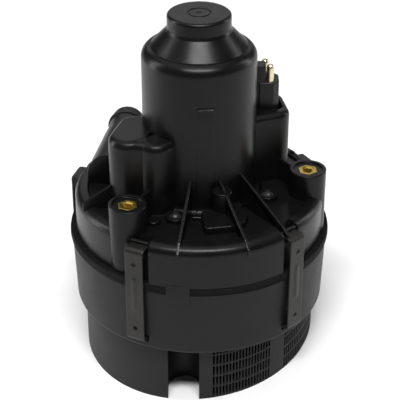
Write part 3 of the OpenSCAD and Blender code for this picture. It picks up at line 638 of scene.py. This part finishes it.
# Radii, heights, half widths and azimuths that several classes share.
BOSS_RING = 59.5
BOSS_RISE = 13.3
BOSS_AZIMUTHS = (-38.5, 81.5, 201.5)
CLIP_AZIMUTHS = (-27.5, 44.5, 119.5, 188.0, 254.5)
CLIP_WINDOW = 5.65
SCREW_RING = 40.0
SCREW_AZIMUTHS = (-18.2, 68.0, 158.0, 225.0)
PANEL = (-22.0, 39.0)
COLUMN_RISE = 38.8
SOCKET_DEPTH = 16.0


# ------------------------------------------------------------------ cover


@dataclass
class CoverSkirt:
    """Skirt, rounded shoulder and deck of the cover, with its front panel and notches."""

    levels: Levels
    radius: float = 68.5
    wall: float = 2.6
    shoulder: float = 5.0
    lip: float = 2.2
    hole: float = 28.6
    panel_push: float = 2.5
    boss_radius: float = 10.0
    notch_in: float = 63.0
    notch_depth: float = 4.9
    steps: int = 900

    def _section(self) -> Array:
        """Closed half section of the shell, from the inner bottom edge round."""
        z, inner = self.levels, self.radius - self.wall
        lip = self.radius - self.shoulder - self.lip
        corners = [
            (inner, z.skirt), (self.radius, z.skirt), (self.radius, z.rim), (lip, z.rim),
            (lip - 0.4, z.deck), (self.hole, z.deck), (self.hole, z.under), (inner, z.under),
        ]
        radii = (0.0, 0.4, self.shoulder, 0.5, 0.6, 0.0, 0.0, 4.0)
        return refined(rounded(corners, radii, closed=True, steps=10), 1.6, closed=True)

    def _shape(self, grid: Array) -> Array:
        """Pushes the front panel and the boss bumps out and cuts the clip notches.

        The radius grows by the panel's thickness between two azimuths, and to the reach
        R cos d + sqrt(b^2 - (R sin d)^2) of a boss of radius b on the circle R. The
        height is cut down in a notch.
        """
        r, azimuth, z = cylindrical(grid)
        outer = smooth(r, self.radius - self.shoulder - 1.6, self.radius - self.shoulder + 0.4)
        r = r + outer * between(azimuth, *PANEL, 0.4) * self.panel_push
        for centre in BOSS_AZIMUTHS:
            off = turned_from(azimuth, centre)
            inside = np.maximum(self.boss_radius ** 2 - (BOSS_RING * np.sin(off)) ** 2, 0.0)
            reach = BOSS_RING * np.cos(off) + np.sqrt(inside)
            wanted = (np.abs(off) < 0.3) & (inside > 0.0) & (z < self.levels.rim - self.shoulder)
            r = np.where(wanted & (r > self.radius - 0.1), np.maximum(r, reach), r)
        floor = self.levels.rim - self.notch_depth
        for centre in CLIP_AZIMUTHS:
            across = within(np.abs(turned_from(azimuth, centre)) * r, CLIP_WINDOW, 0.25)
            across = across * smooth(r, self.notch_in - 0.3, self.notch_in + 0.3)
            z = z - np.maximum(z - floor, 0.0) * across
        return placed(r, azimuth, z)

    def build(self) -> None:
        """Makes the shell."""
        grid = self._shape(revolved(self._section(), self.steps))
        Skin().grid(grid, along=True).piece("cover_skirt", "cover_plastic", ["motor_cover"])


@dataclass
class CoverTower:
    """Motor tower with its fillet, shoulder, cone, stepped cap and gate mark."""

    levels: Levels
    radius: float = 30.5
    wall: float = 2.0
    fillet: float = 3.0
    edge: float = 6.0
    cone: float = 25.7
    cap_radius: float = 16.8
    cap_rise: float = 7.4
    cap_thick: float = 2.4
    cap_ring: tuple[float, float] = (5.2, 6.4)
    ring_depth: float = 0.5
    dimple: float = 1.4
    dimple_depth: float = 0.4
    strip_half: float = 4.5
    strip_x: float = 3.2
    strip_rise: float = 0.3
    mark_rise: float = 59.0
    mark_half: tuple[float, float] = (5.0, 1.0)
    mark_depth: float = 0.9
    mark_rows: float = 1.5
    strip_top: float = 56.0
    steps: int = 480

    def _section(self) -> Array:
        """Half section from the inner axis point down, round the foot and up to the cap."""
        z, inner, cap = self.levels, self.radius - self.wall, self.cap_radius
        foot, floor, ring = self.radius + self.fillet + 1.0, z.under + 0.5, z.cap - self.ring_depth
        near, far = self.cap_ring
        corners = [
            (0.0, z.cap - self.cap_thick), (cap - 2.0, z.cap - self.cap_thick),
            (cap - 1.4, z.cap - 11.0), (inner - 3.0, z.tower + 2.5), (inner, z.tower - 2.0),
            (inner, floor), (foot, floor), (foot, z.deck), (self.radius, z.deck),
            (self.radius, z.tower + self.edge), (self.cone, z.tower + self.edge),
            (cap + 0.7, z.cap - self.cap_rise - 1.5), (cap, z.cap - self.cap_rise), (cap, z.cap),
            (far, z.cap), (far - 0.2, ring), (near + 0.2, ring), (near, z.cap),
            (self.dimple, z.cap), (self.dimple - 0.2, z.cap - self.dimple_depth),
            (0.0, z.cap - self.dimple_depth),
        ]
        radii = (0, 1, 1, 1, 3, 0, 0, 0, self.fillet, self.edge, 0.8, 0.8, 0.6, 1.7,
                 0.15, 0.2, 0.2, 0.15, 0.15, 0.15, 0)
        path = refined(rounded(corners, radii, steps=10), 2.5)
        mark, reach = z.rim + self.mark_rise, self.mark_rows
        rows = np.arange(mark - reach, mark + reach, reach / 10.0)
        wall = path[:, 0] > self.radius - 0.01
        after = int(np.argmax(wall & (path[:, 1] > mark - reach)))
        keep = ~wall | (np.abs(path[:, 1] - mark) > reach)
        fine = np.stack([np.full(len(rows), self.radius), rows], 1)
        return np.concatenate([path[:after][keep[:after]], fine, path[after:][keep[after:]]])

    def build(self) -> None:
        """Makes the tower.

        Its front strip stands out where |x - strip_x| is small. Above the strip is a
        small hollow, cut by a cosine bowl over an ellipse.
        """
        grid = revolved(self._section(), self.steps)
        r, azimuth, z = cylindrical(grid)
        x, height = grid[..., 0] - self.strip_x, z - self.levels.rim
        wall = smooth(r, self.radius - 0.4, self.radius - 0.1) * (grid[..., 1] < 0.0)
        strip = within(np.abs(x), self.strip_half, 0.3) * within(height, self.strip_top, 1.0)
        wide, high = self.mark_half
        bowl = (x / wide) ** 2 + ((height - self.mark_rise) / high) ** 2
        hollow = self.mark_depth * np.cos(np.minimum(bowl, 1.0) * math.pi / 2.0)
        r = r + self.strip_rise * strip * wall
        skin = Skin().grid(placed(r - hollow * wall, azimuth, z))
        skin.piece("cover_tower", "cover_plastic", ["motor_cover"])


@dataclass
class CoverFeatures:
    """What stands on the deck: bosses, bulge, connector column, ribs, rings and pads."""

    levels: Levels
    boss_radius: float = 10.0
    boss_rim: float = 2.0
    recess: float = 1.0
    insert_hold: float = 4.6
    rib: float = 1.6
    rib_from: float = 29.5
    rib_to: float = 71.5
    rib_rise: float = 17.5
    rib_tail: float = 5.0
    bulge_rise: float = 39.3
    bulge_step: float = 0.1
    bulge_side: Sequence = ((-36.8, -19.5), (-34.5, -4.0), (-20.0, -8.0))
    side_radii: Sequence[float] = (11.0, 9.0, 12.0)
    bulge_front: Sequence = ((-22.5, -24.0), (-14.0, -12.0))
    front_radii: Sequence[float] = (9.8, 12.0)
    joint_radii: Sequence[float] = (9.5, 8.3)
    post_radius: float = 8.0
    column_posts: Sequence = ((41.2, 12.6), (38.8, 26.6), (27.0, 7.5), (24.0, 26.0))
    column_wall: float = 3.5
    socket_front: float = 11.8
    socket_left: float = 29.2
    screw_ring: tuple[float, float] = (3.6, 5.4)
    screw_ring_rise: float = 2.6

    def _bosses(self) -> None:
        """Round bosses with a sunk seat for the insert, each turned about its own axis."""
        z, b = self.levels, self.boss_radius
        top, seat, inner = z.rim + BOSS_RISE, z.rim + BOSS_RISE - self.recess, b - self.boss_rim
        foot = z.rim - 6.0
        corners = [(self.insert_hold, foot), (b, foot), (b, top), (inner, top), (inner, seat),
                   (self.insert_hold, seat)]
        section = refined(rounded(corners, (0, 0, 0.5, 0.25, 0.3, 0), closed=True, steps=6), 3.0)
        skin = Skin()
        for azimuth in BOSS_AZIMUTHS:
            place = Axes.outward(azimuth, (*plan(BOSS_RING, azimuth), 0.0))
            skin.grid(place.put(revolved(section, 96)), along=True)
        skin.piece("cover_bosses", "cover_plastic", ["motor_cover"])

    def _bulge(self) -> None:
        """Two-lobed bulge with a softly rounded top and a shallow dip between its lobes."""
        z = self.levels
        section = block_section(z.deck - 0.5, z.rim + self.bulge_rise, 4.0, 1.2)
        section = refined(section, 3.0)
        side = around_posts(self.bulge_side, self.side_radii, section)
        front = around_posts(self.bulge_front, self.front_radii, section)
        lower = section - (0.0, self.bulge_step)
        joint = around_posts([self.bulge_side[0], self.bulge_front[0]], self.joint_radii, lower)
        skin = Skin().grid(side, lids=True).grid(front, lids=True).grid(joint, lids=True)
        skin.piece("cover_bulge", "cover_plastic", ["motor_cover"])

    def _column(self) -> None:
        """Column whose open top holds the socket: the outer wall, the rim and the cavity."""
        z = self.levels
        top, floor = z.rim + COLUMN_RISE, z.rim + COLUMN_RISE - SOCKET_DEPTH
        outer = refined(block_section(z.deck - 0.5, top, 3.0, 1.2)[:-1], 3.0)
        walls = around_posts(self.column_posts, [self.post_radius] * 4, outer, 160)
        cavity = rounded([(0.4, top), (0.0, top), (0.0, floor), (-3.0, floor)], (0, 0.4, 0.8, 0))
        r = self.post_radius - self.column_wall
        front, left = self.socket_front + r, self.socket_left + r
        (right, _), (back_x, back), *_ = self.column_posts
        hollow = [(right, front), (back_x, back), (left, front), (left, back)]
        inside = around_posts(hollow, [r] * 4, cavity, 160)
        skin = Skin().grid(np.concatenate([walls, inside]), lids=True)
        skin.piece("cover_column", "cover_plastic", ["motor_cover"])

    def _wall(self, skin: Skin, start: Array, end: Array, side: Sequence) -> None:
        """Adds a rib: its rounded side outline (run, height), given its thickness.

        Args:
            skin: Where the rib goes.
            start: Plan point where the run begins.
            end: Plan point where it ends.
            side: Corners of the side outline.
        """
        outline = refined(rounded(side, 0.4, closed=True), 6.0)
        section = block_section(-self.rib / 2.0, self.rib / 2.0, 0.4, 0.0, 0.4)
        skin.grid(Axes.upright(start, end).put(round_outline(outline, section)), lids=True)

    def _ribs(self) -> None:
        """Long ribs that run down over the shoulder, and short ones to the bosses."""
        z, skin = self.levels, Skin()
        foot, top, boss_top = z.under + 1.0, z.rim + self.rib_rise, z.rim + BOSS_RISE
        for a, b in ((-9.0, -9.0), (21.0, 21.0), (47.0, 41.0)):
            start, end = plan(self.rib_from, a), plan(self.rib_to, b)
            run = float(np.linalg.norm(end - start))
            bend = run - self.rib_tail
            side = [(0, foot), (bend, foot), (bend, z.rim - 7), (run, z.rim - 7),
                    (run, z.rim - 3), (bend, z.rim + 1.2), (0, top)]
            self._wall(skin, start, end, side)
        front_boss, right_boss, _ = BOSS_AZIMUTHS
        short = [
            (np.array([-36.0, -22.0]), plan(68.0, -66.0), z.rim + 18.5, z.rim + 2.5),
            (np.array([-24.0, -31.0]), plan(BOSS_RING - 9.0, front_boss), boss_top + 1, boss_top - 0.2),
            (np.array([42.0, 8.0]), plan(BOSS_RING, right_boss), boss_top - 1.0, boss_top - 4.0),
            (np.array([44.0, 30.0]), plan(66.0, 130.0), z.rim + 20.0, z.rim + 1.0),
            (plan(self.rib_from, 165.0), plan(65.0, 165.0), top, z.rim + 1.0),
            (plan(self.rib_from, 240.0), plan(52.0, 240.0), top, z.rim + 6.0),
        ]
        for start, end, high, low in short:
            run = float(np.linalg.norm(end - start))
            self._wall(skin, start, end, [(0, foot), (run, foot), (run, low), (0, high)])
        skin.piece("cover_ribs", "cover_plastic", ["motor_cover"])

    def _deck_details(self) -> None:
        """Rings round the deck screws, the posts in front and the raised pads."""
        z, skin = self.levels, Skin()
        low, high = z.deck - 0.6, z.deck + self.screw_ring_rise
        near, far = self.screw_ring
        corners = [(near, low), (far, low), (far, high), (near, high)]
        ring = rounded(corners, (0, 0, 0.4, 0.3), closed=True)
        for azimuth in SCREW_AZIMUTHS:
            place = Axes.outward(azimuth, (*plan(SCREW_RING, azimuth), 0.0))
            skin.grid(place.put(revolved(ring, 48)), along=True)
        for place, radius, rise, soft in ((plan(35.5, 20.0), 5.2, 15.0, 0.5),
                                          (plan(47.7, -30.0), 3.7, 2.0, 0.6)):
            section = block_section(low, z.deck + rise, soft)
            skin.grid(around_posts([place], [radius], section, 48), lids=True)
        pads = (
            ([(36.0, 1.0), (54.0, 3.0), (54.0, 18.0), (52.5, 27.0), (46.5, 34.0), (36.0, 36.0)], 4.0, 2.4),
            ([(36.0, -6.0), (39.3, -5.5), (39.3, 2.0), (36.0, 2.0)], 2.0, 0.5),
        )
        for pad, rise, soft in pads:
            outline = refined(rounded([plan(r, a) for r, a in pad], soft, closed=True), 2.0)
            skin.grid(round_outline(outline, block_section(low, z.deck + rise, 0.8)), lids=True)
        skin.piece("cover_deck_details", "cover_plastic", ["motor_cover"])

    def build(self) -> None:
        """Makes every feature."""
        self._bosses()
        self._bulge()
        self._column()
        self._ribs()
        self._deck_details()


@dataclass
class Outlet:
    """Outlet duct: a cone that ends in a hose spigot, and its seal ring."""

    levels: Levels
    start_x: float = -49.0
    yaw: float = 6.0
    rise: float = 3.5
    wide: float = 13.0
    radius: float = 10.0
    bore: float = 7.6
    length: float = 68.0
    straight: float = 23.0
    floor: float = 4.0
    groove_back: float = 9.0
    groove: float = 2.4
    groove_depth: float = 1.2

    def _axes(self) -> Axes:
        """Frame whose z is the duct's own axis."""
        turn = math.radians(self.yaw)
        z = (math.sin(turn), math.cos(turn), 0.0)
        x = (math.cos(turn), -math.sin(turn), 0.0)
        return Axes((self.start_x, 0.0, self.levels.rim + self.rise), x, (0.0, 0.0, -1.0), z)

    def build(self) -> None:
        """Makes the duct and the ring."""
        r, end, neck = self.radius, self.length, self.length - self.straight
        slot = end - self.groove_back
        shut, deep = slot + self.groove, r - self.groove_depth
        corners = [
            (0, 0), (self.wide, 0), (r + 0.5, neck), (r, neck + 1.0), (r, slot), (deep, slot),
            (deep, shut), (r, shut), (r, end), (self.bore, end), (self.bore, self.floor),
            (0, self.floor),
        ]
        radii = (0, 0.8, 1, 1, 0.2, 0.2, 0.2, 0.2, 1.2, 0.4, 0.4, 0)
        section = refined(rounded(corners, radii), 3.0)
        grid = self._axes().put(revolved(section, 120))
        Skin().grid(grid).piece("cover_duct", "cover_plastic", ["motor_cover"])
        t = np.linspace(0.0, 2.0 * math.pi, 24, endpoint=False)
        thick = self.groove / 2.0 - 0.05
        middle = slot + self.groove / 2.0
        loop = np.stack([r - 0.05 + thick * np.cos(t), middle + thick * np.sin(t)], 1)
        grid = self._axes().put(revolved(loop, 120))
        Skin().grid(grid, along=True).piece("outlet_ring", "soft_rubber", ["outlet_seal_ring"])


# ------------------------------------------------------------------ housing


@dataclass
class FanHousing:
    """Fan housing ring with its floor, index tab and clip pockets, and the seal above it."""

    levels: Levels
    radius: float = 71.0
    taper: float = 1.4
    wall: float = 3.0
    edge: float = 2.5
    eye: float = 20.0
    eye_rise: float = 4.5
    eye_wall: float = 2.0
    floor: float = 2.5
    pocket: tuple[float, float] = (4.8, 8.2)
    pocket_depth: float = 2.2
    tab: tuple[float, float] = (-14.0, -4.0)
    seal_radius: float = 72.0
    seal_width: float = 7.0
    seal_draw: float = 1.6
    lip: float = 0.3

    def _ring(self) -> None:
        """Turned ring; its radius dips in the five clip pockets."""
        z, low = self.levels, self.radius - self.taper
        inner, rim, floor = low - self.wall, self.eye + self.eye_wall, z.ring + self.floor
        corners = [
            (inner, z.seal), (self.radius, z.seal), (low, z.ring), (self.eye, z.ring),
            (self.eye, z.ring + self.eye_rise), (rim, z.ring + self.eye_rise), (rim, floor),
            (inner, floor),
        ]
        path = rounded(corners, (0, 0.5, self.edge, 0.5, 0.4, 0.4, 0.5, 2.0), closed=True, steps=8)
        r, azimuth, height = cylindrical(revolved(refined(path, 0.9, closed=True), 720))
        outer = smooth(r, low - 0.8, low - 0.2)
        band = between(height - z.ring, *self.pocket, 0.2)
        for centre in CLIP_AZIMUTHS:
            across = within(np.abs(turned_from(azimuth, centre)) * self.radius, CLIP_WINDOW, 0.3)
            r = r - self.pocket_depth * outer * band * across
        grid = placed(r, azimuth, height)
        Skin().grid(grid, along=True).piece("fan_housing", "housing_plastic", ["fan_ring"])

    def _tab(self) -> None:
        """Index tab that stands in front of the seal, rounded at its corners."""
        z = self.levels
        inner, outer, low, high = self.radius - 1.0, self.radius + 0.5, z.seal - 5.0, z.seal + 6.0
        corners = [(inner, low), (outer, low), (outer, high), (inner, high)]
        section = rounded(corners, (0, 0.4, 0.5, 0.2), closed=True)
        grid = np.swapaxes(revolved(section, 24, *self.tab), 0, 1)
        Skin().grid(grid, lids=True).piece("index_tab", "housing_plastic", ["fan_ring"])

    def _seal(self) -> None:
        """Rubber band with three soft lips, drawn in where the front panel hides it."""
        z = self.levels
        inner = self.seal_radius - self.seal_width
        corners = [(inner, z.seal), (self.seal_radius, z.seal), (self.seal_radius, z.skirt),
                   (inner, z.skirt)]
        loop = rounded(corners, (0.3, 0.9, 0.9, 0.3), closed=True)
        section = refined(loop, 0.3, closed=True)
        share = (section[:, 1] - z.seal) / (z.skirt - z.seal)
        wave = self.lip * (np.cos(share * 3.0 * 2.0 * math.pi) - 1.0) / 2.0
        section[:, 0] += wave * (section[:, 0] > self.seal_radius - 0.2)
        r, azimuth, height = cylindrical(revolved(section, 480))
        r = np.minimum(r, self.seal_radius - between(azimuth, *PANEL, 0.5) * self.seal_draw)
        grid = placed(r, azimuth, height)
        Skin().grid(grid, along=True).piece("seal_band", "seal_rubber", ["cover_seal"])

    def build(self) -> None:
        """Makes the ring, the tab and the seal."""
        self._ring()
        self._tab()
        self._seal()


@dataclass
class Clip:
    """Spring clip bent from strip: hooks at both ends, two holes and a stamped bead."""

    number: int
    levels: Levels
    leg_radius: float = 72.9
    width: float = 10.5
    thick: float = 1.0
    hole: float = 1.25
    hole_up: float = 14.0
    hole_down: float = 12.5
    foot_up: float = 6.5
    hook_down: float = 4.0
    foot_bend: float = 1.5
    hook_bend: float = 2.2
    tip_radius: float = 68.0
    top_radius: float = 65.6
    curl_run: float = 4.4
    bead_half: float = 10.0
    bead_rise: float = 0.5
    across: int = 12

    def _bent(self, t: Array, s: Array) -> Array:
        """Flat strip point (across t, along s) on the bent strip.

        The middle line is a rounded path in the plane of radius and height, and the
        stamped bead lifts the strip along its normal by a smooth hump.
        """
        z = self.levels
        low, high = z.ring + self.foot_up, z.rim - self.hook_down
        r, top = self.leg_radius, self.top_radius
        corners = [(self.tip_radius, low), (r, low), (r, high), (top, high),
                   (top - 1.0, high + 0.9), (top, high + 1.8), (top + 1.3, high + 1.6)]
        radii = (0, self.foot_bend, self.hook_bend, 0.6, 0.6, 0.5, 0)
        path = refined(rounded(corners, radii, steps=9), 0.5)
        run = np.concatenate([[0.0], np.cumsum(np.linalg.norm(np.diff(path, axis=0), axis=1))])
        radius, height = np.interp(s, run, path[:, 0]), np.interp(s, run, path[:, 1])
        middle = (low + high) / 2.0 + 1.0
        hump = within(np.abs(t), 1.0, 0.5) * (radius > r - 0.01)
        hump = hump * within(np.abs(height - middle), self.bead_half - 0.2, 0.8)
        return np.stack([radius + self.bead_rise * hump, t, height], -1)

    def _length(self) -> tuple[float, float]:
        """Length of strip before the leg's straight part, and the whole length."""
        z, quarter = self.levels, math.pi / 2.0
        start = self.leg_radius - self.tip_radius + self.foot_bend * (quarter - 1.0)
        leg = z.rim - self.hook_down - self.hook_bend - z.ring - self.foot_up - self.foot_bend
        return start, start + leg + self.hook_bend * quarter + 5.0 + self.curl_run

    def _patch(self, skin: Skin, axes: Axes, middle: float) -> None:
        """Adds a square of strip with a round hole.

        The grid's rows run from the circle to the square's edge, which meets the plain
        strip point by point.
        """
        side, n = self.width / 2.0, self.across
        edge = np.linspace(-side, side, n, endpoint=False)
        square = np.concatenate([
            np.stack([edge, np.full(n, -side)], 1), np.stack([np.full(n, side), edge], 1),
            np.stack([-edge, np.full(n, side)], 1), np.stack([np.full(n, -side), -edge], 1),
        ])
        circle = self.hole * square / np.linalg.norm(square, axis=1, keepdims=True)
        share = np.linspace(0.0, 1.0, 8)[:, None, None] ** 1.4
        flat = circle * (1.0 - share) + square * share
        skin.grid(axes.put(self._bent(flat[..., 0], flat[..., 1] + middle)))

    def build(self) -> None:
        """Makes the strip from plain runs and two pierced squares."""
        z, skin = self.levels, Skin()
        axes = Axes.outward(CLIP_AZIMUTHS[self.number - 1])
        start, whole = self._length()
        low_end = z.ring + self.foot_up + self.foot_bend
        holes = [start + z.ring + self.hole_up - low_end, start + z.rim - self.hole_down - low_end]
        half = self.width / 2.0
        marks = [0.0, holes[0] - half, holes[0] + half, holes[1] - half, holes[1] + half, whole]
        t = np.linspace(-half, half, self.across + 1)
        for first, last in ((marks[0], marks[1]), (marks[2], marks[3]), (marks[4], marks[5])):
            s = np.linspace(first, last, max(int((last - first) / 0.55), 2))
            tt, ss = np.meshgrid(t, s)
            skin.grid(axes.put(self._bent(tt, ss)), around=False)
        for middle in holes:
            self._patch(skin, axes, middle)
        node = f"clip_{self.number}"
        made = skin.piece(f"spring_{node}", "clip_steel", [node], f"{node}_body")
        solid = made.modifiers.new("thickness", "SOLIDIFY")
        solid.thickness, solid.offset, solid.use_even_offset = self.thick * MM, 0.0, True
        soft = made.modifiers.new("edges", "BEVEL")
        soft.width, soft.segments, soft.angle_limit = 0.18 * MM, 2, math.radians(50.0)


@dataclass
class Inserts:
    """Hexagonal brass inserts with a threaded bore."""

    levels: Levels
    flats: float = 9.5
    bore: float = 2.5
    slack: float = 0.1
    mouth: float = 3.45
    length: float = 11.0
    sunk: float = 0.85
    pitch: float = 1.0
    thread: float = 0.28

    def build(self) -> None:
        """Makes the inserts.

        The side and the chamfer follow a rounded hexagon, the top runs in to a circle,
        and the bore's radius is bore + slack - thread |saw(z / pitch + a / 360)|.
        """
        top = self.levels.rim + BOSS_RISE - self.sunk
        low = top - self.length
        hexagon = plan(self.flats / 2.0 / math.cos(math.pi / 6.0), np.arange(6) * 60.0)
        outline = rounded(hexagon, 0.5, closed=True, steps=5)
        angle = np.degrees(np.arctan2(outline[:, 0], -outline[:, 1]))
        section = rounded([(-0.3, low), (0, low), (0, top), (-0.4, top)], (0, 0.2, 0.3, 0))
        side = round_outline(outline, section)
        z = np.arange(top - 0.5, low, -self.pitch / 8.0)
        saw = np.abs(((z[:, None] / self.pitch + angle[None, :] / 360.0) % 1.0) * 2.0 - 1.0)
        bore = placed(self.bore + self.slack - self.thread * saw, angle[None, :], z[:, None])
        mouth = placed(np.full((1, len(angle)), self.mouth), angle[None, :], top)
        skin = Skin()
        for azimuth in BOSS_AZIMUTHS:
            place = Axes.outward(azimuth + 15.0, (*plan(BOSS_RING, azimuth), 0.0))
            skin.grid(place.put(np.concatenate([side, mouth, bore])), along=True)
        skin.piece("brass_inserts", "insert_brass", ["mounting_inserts"], crease=30.0)


@dataclass
class Socket:
    """Insulator block with its blade, and the two round pins."""

    levels: Levels
    block: Sequence = (
        (32.2, 12.6), (40.3, 12.6), (43.3, 15.6), (43.3, 24.0), (39.8, 27.5), (32.2, 27.5))
    block_rise: float = 15.0
    blade: Sequence = ((29.6, 13.3), (35.6, 13.3), (35.6, 20.2), (29.6, 20.2))
    pin: float = 2.0
    pin_rise: float = 10.0
    pin_root: float = 7.9
    pins: Sequence = ((38.4, 15.5), (35.8, 22.5))

    def build(self) -> None:
        """Makes the block, the blade and the pins."""
        base = self.levels.rim + COLUMN_RISE
        floor, top = base - SOCKET_DEPTH - 0.1, base + self.block_rise
        high, root, skin = top + self.pin_rise, floor - self.pin_root, Skin()
        for shape, upto, soft, edge in ((self.block, top, 0.7, 0.5), (self.blade, high, 0.6, 0.6)):
            outline = refined(rounded(shape, soft, closed=True), 1.5)
            skin.grid(round_outline(outline, block_section(floor, upto, edge)), lids=True)
        skin.piece("socket_block", "insulator_plastic", ["connector_block"])
        pins = Skin()
        corners = [(0, root), (self.pin, root), (self.pin, high), (0, high)]
        section = refined(rounded(corners, (0, 0.3, self.pin - 0.1, 0)), 3.0)
        for x, y in self.pins:
            pins.grid(Axes((x, y, 0.0)).put(revolved(section, 48)))
        pins.piece("contact_pins", "gilt_brass", ["terminal_pins"])


# ------------------------------------------------------------------ stage


@dataclass(frozen=True)
class Lamp:
    """One soft rectangular light aimed at a point."""

    name: str
    place: Point
    size: tuple[float, float]
    power: float
    aim: Point = (0.0, 0.0, 0.1)

    def build(self) -> None:
        """Makes the light."""
        data = bpy.data.lights.new(self.name, "AREA")
        data.shape, data.size, data.size_y, data.energy = "RECTANGLE", *self.size, self.power
        lamp = added(self.name, data)
        lamp.location = self.place
        way = Vector(self.aim) - Vector(self.place)
        lamp.rotation_euler = way.to_track_quat("-Z", "Y").to_euler()


@dataclass
class Studio:
    """Pale floor, soft lights and the camera."""

    camera_place: Point = (0.0, -0.624, 0.4452)
    pitch: float = 30.775
    lens: float = 116.65
    shift: tuple[float, float] = (0.002, 0.0336)
    floor_size: float = 12.0
    world_light: float = 0.04
    sun: float = 0.85
    lamps: tuple[Lamp, ...] = field(default_factory=lambda: (
        Lamp("front_bank", (0.02, -0.55, 1.12), (0.7, 0.16), 14.0),
        Lamp("left_bank", (-0.9, 0.15, 0.35), (0.2, 0.9), 4.6),
        Lamp("right_bank", (0.9, 0.35, 0.35), (0.14, 0.9), 2.9),
        Lamp("back_bank", (0.0, 1.3, 0.75), (1.6, 0.4), 2.0),
    ))

    def _floor(self) -> None:
        """Floor in the plane of the part's slanted bottom face."""
        normal = Vector(frame["record"]["mounts"][0]["axis"]).normalized()
        mesh = bpy.data.meshes.new("floor")
        half = self.floor_size / 2.0
        flat = np.array([(-half, -half, 0), (half, -half, 0), (half, half, 0), (-half, half, 0)])
        turn = np.array(normal.to_track_quat("-Z", "Y").to_matrix())
        mesh.from_pydata(flat @ turn.T, [], [[0, 1, 2, 3]])
        tree = Tree("floor_paper")
        tone = tree.noise(tree.place(), 300.0, 2.0)
        colour = tree.blend(tone, grey(0.93), grey(0.96))
        sockets = {"Base Color": colour, "Roughness": 0.9, "Specular IOR Level": 0.1}
        mesh.materials.append(tree.surface(sockets))
        floor = added("floor", mesh)

    def _world(self) -> None:
        """Dim light from all round; the camera itself sees white beyond the floor."""
        world = bpy.data.worlds.new("studio")
        world.use_nodes = True
        nodes, links = world.node_tree.nodes, world.node_tree.links
        nodes.clear()
        dim, seen = nodes.new("ShaderNodeBackground"), nodes.new("ShaderNodeBackground")
        dim.inputs["Strength"].default_value = self.world_light
        dim.inputs["Color"].default_value = seen.inputs["Color"].default_value = (1.0, 1.0, 1.0, 1.0)
        mix, path = nodes.new("ShaderNodeMixShader"), nodes.new("ShaderNodeLightPath")
        out = nodes.new("ShaderNodeOutputWorld")
        links.new(path.outputs["Is Camera Ray"], mix.inputs[0])
        links.new(dim.outputs[0], mix.inputs[1])
        links.new(seen.outputs[0], mix.inputs[2])
        links.new(mix.outputs[0], out.inputs[0])
        bpy.context.scene.world = world

    def build(self) -> None:
        """Makes the floor, the lights and the camera."""
        self._floor()
        self._world()
        sun = bpy.data.lights.new("sky_panel", "SUN")
        sun.energy, sun.angle = self.sun, math.radians(70.0)
        added("sky_panel", sun).rotation_euler = (math.radians(-8.0), math.radians(-10.0), 0.0)
        for lamp in self.lamps:
            lamp.build()
        data = bpy.data.cameras.new("camera")
        data.lens, data.sensor_width = self.lens, 36.0
        data.shift_x, data.shift_y = self.shift
        camera = added("camera", data)
        camera.location = self.camera_place
        camera.rotation_euler = (math.radians(90.0 - self.pitch), 0.0, 0.0)
        bpy.context.scene.camera = camera
        bpy.context.scene.view_settings.view_transform = "Standard"


# ------------------------------------------------------------------ whole


def dress_nodes() -> None:
    """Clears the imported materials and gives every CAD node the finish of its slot."""
    bpy.data.batch_remove(list(bpy.data.materials))
    for row in frame["record"]["subparts"]:
        node = frame["nodes"][row["node"]]
        node.data.materials.clear()
        node.data.materials.append(FINISHES[row["material_slot"]].build())


def main() -> None:
    """Builds the sub-assemblies in order."""
    logging.basicConfig(level=logging.INFO, format="%(name)s %(message)s")
    dress_nodes()
    levels = Levels.of_part()
    CoverSkirt(levels).build()
    CoverTower(levels).build()
    CoverFeatures(levels).build()
    Outlet(levels).build()
    FanHousing(levels).build()
    for number in range(1, len(CLIP_AZIMUTHS) + 1):
        Clip(number, levels).build()
    Inserts(levels).build()
    Socket(levels).build()
    Studio().build()


if __name__ == "__main__":
    main()
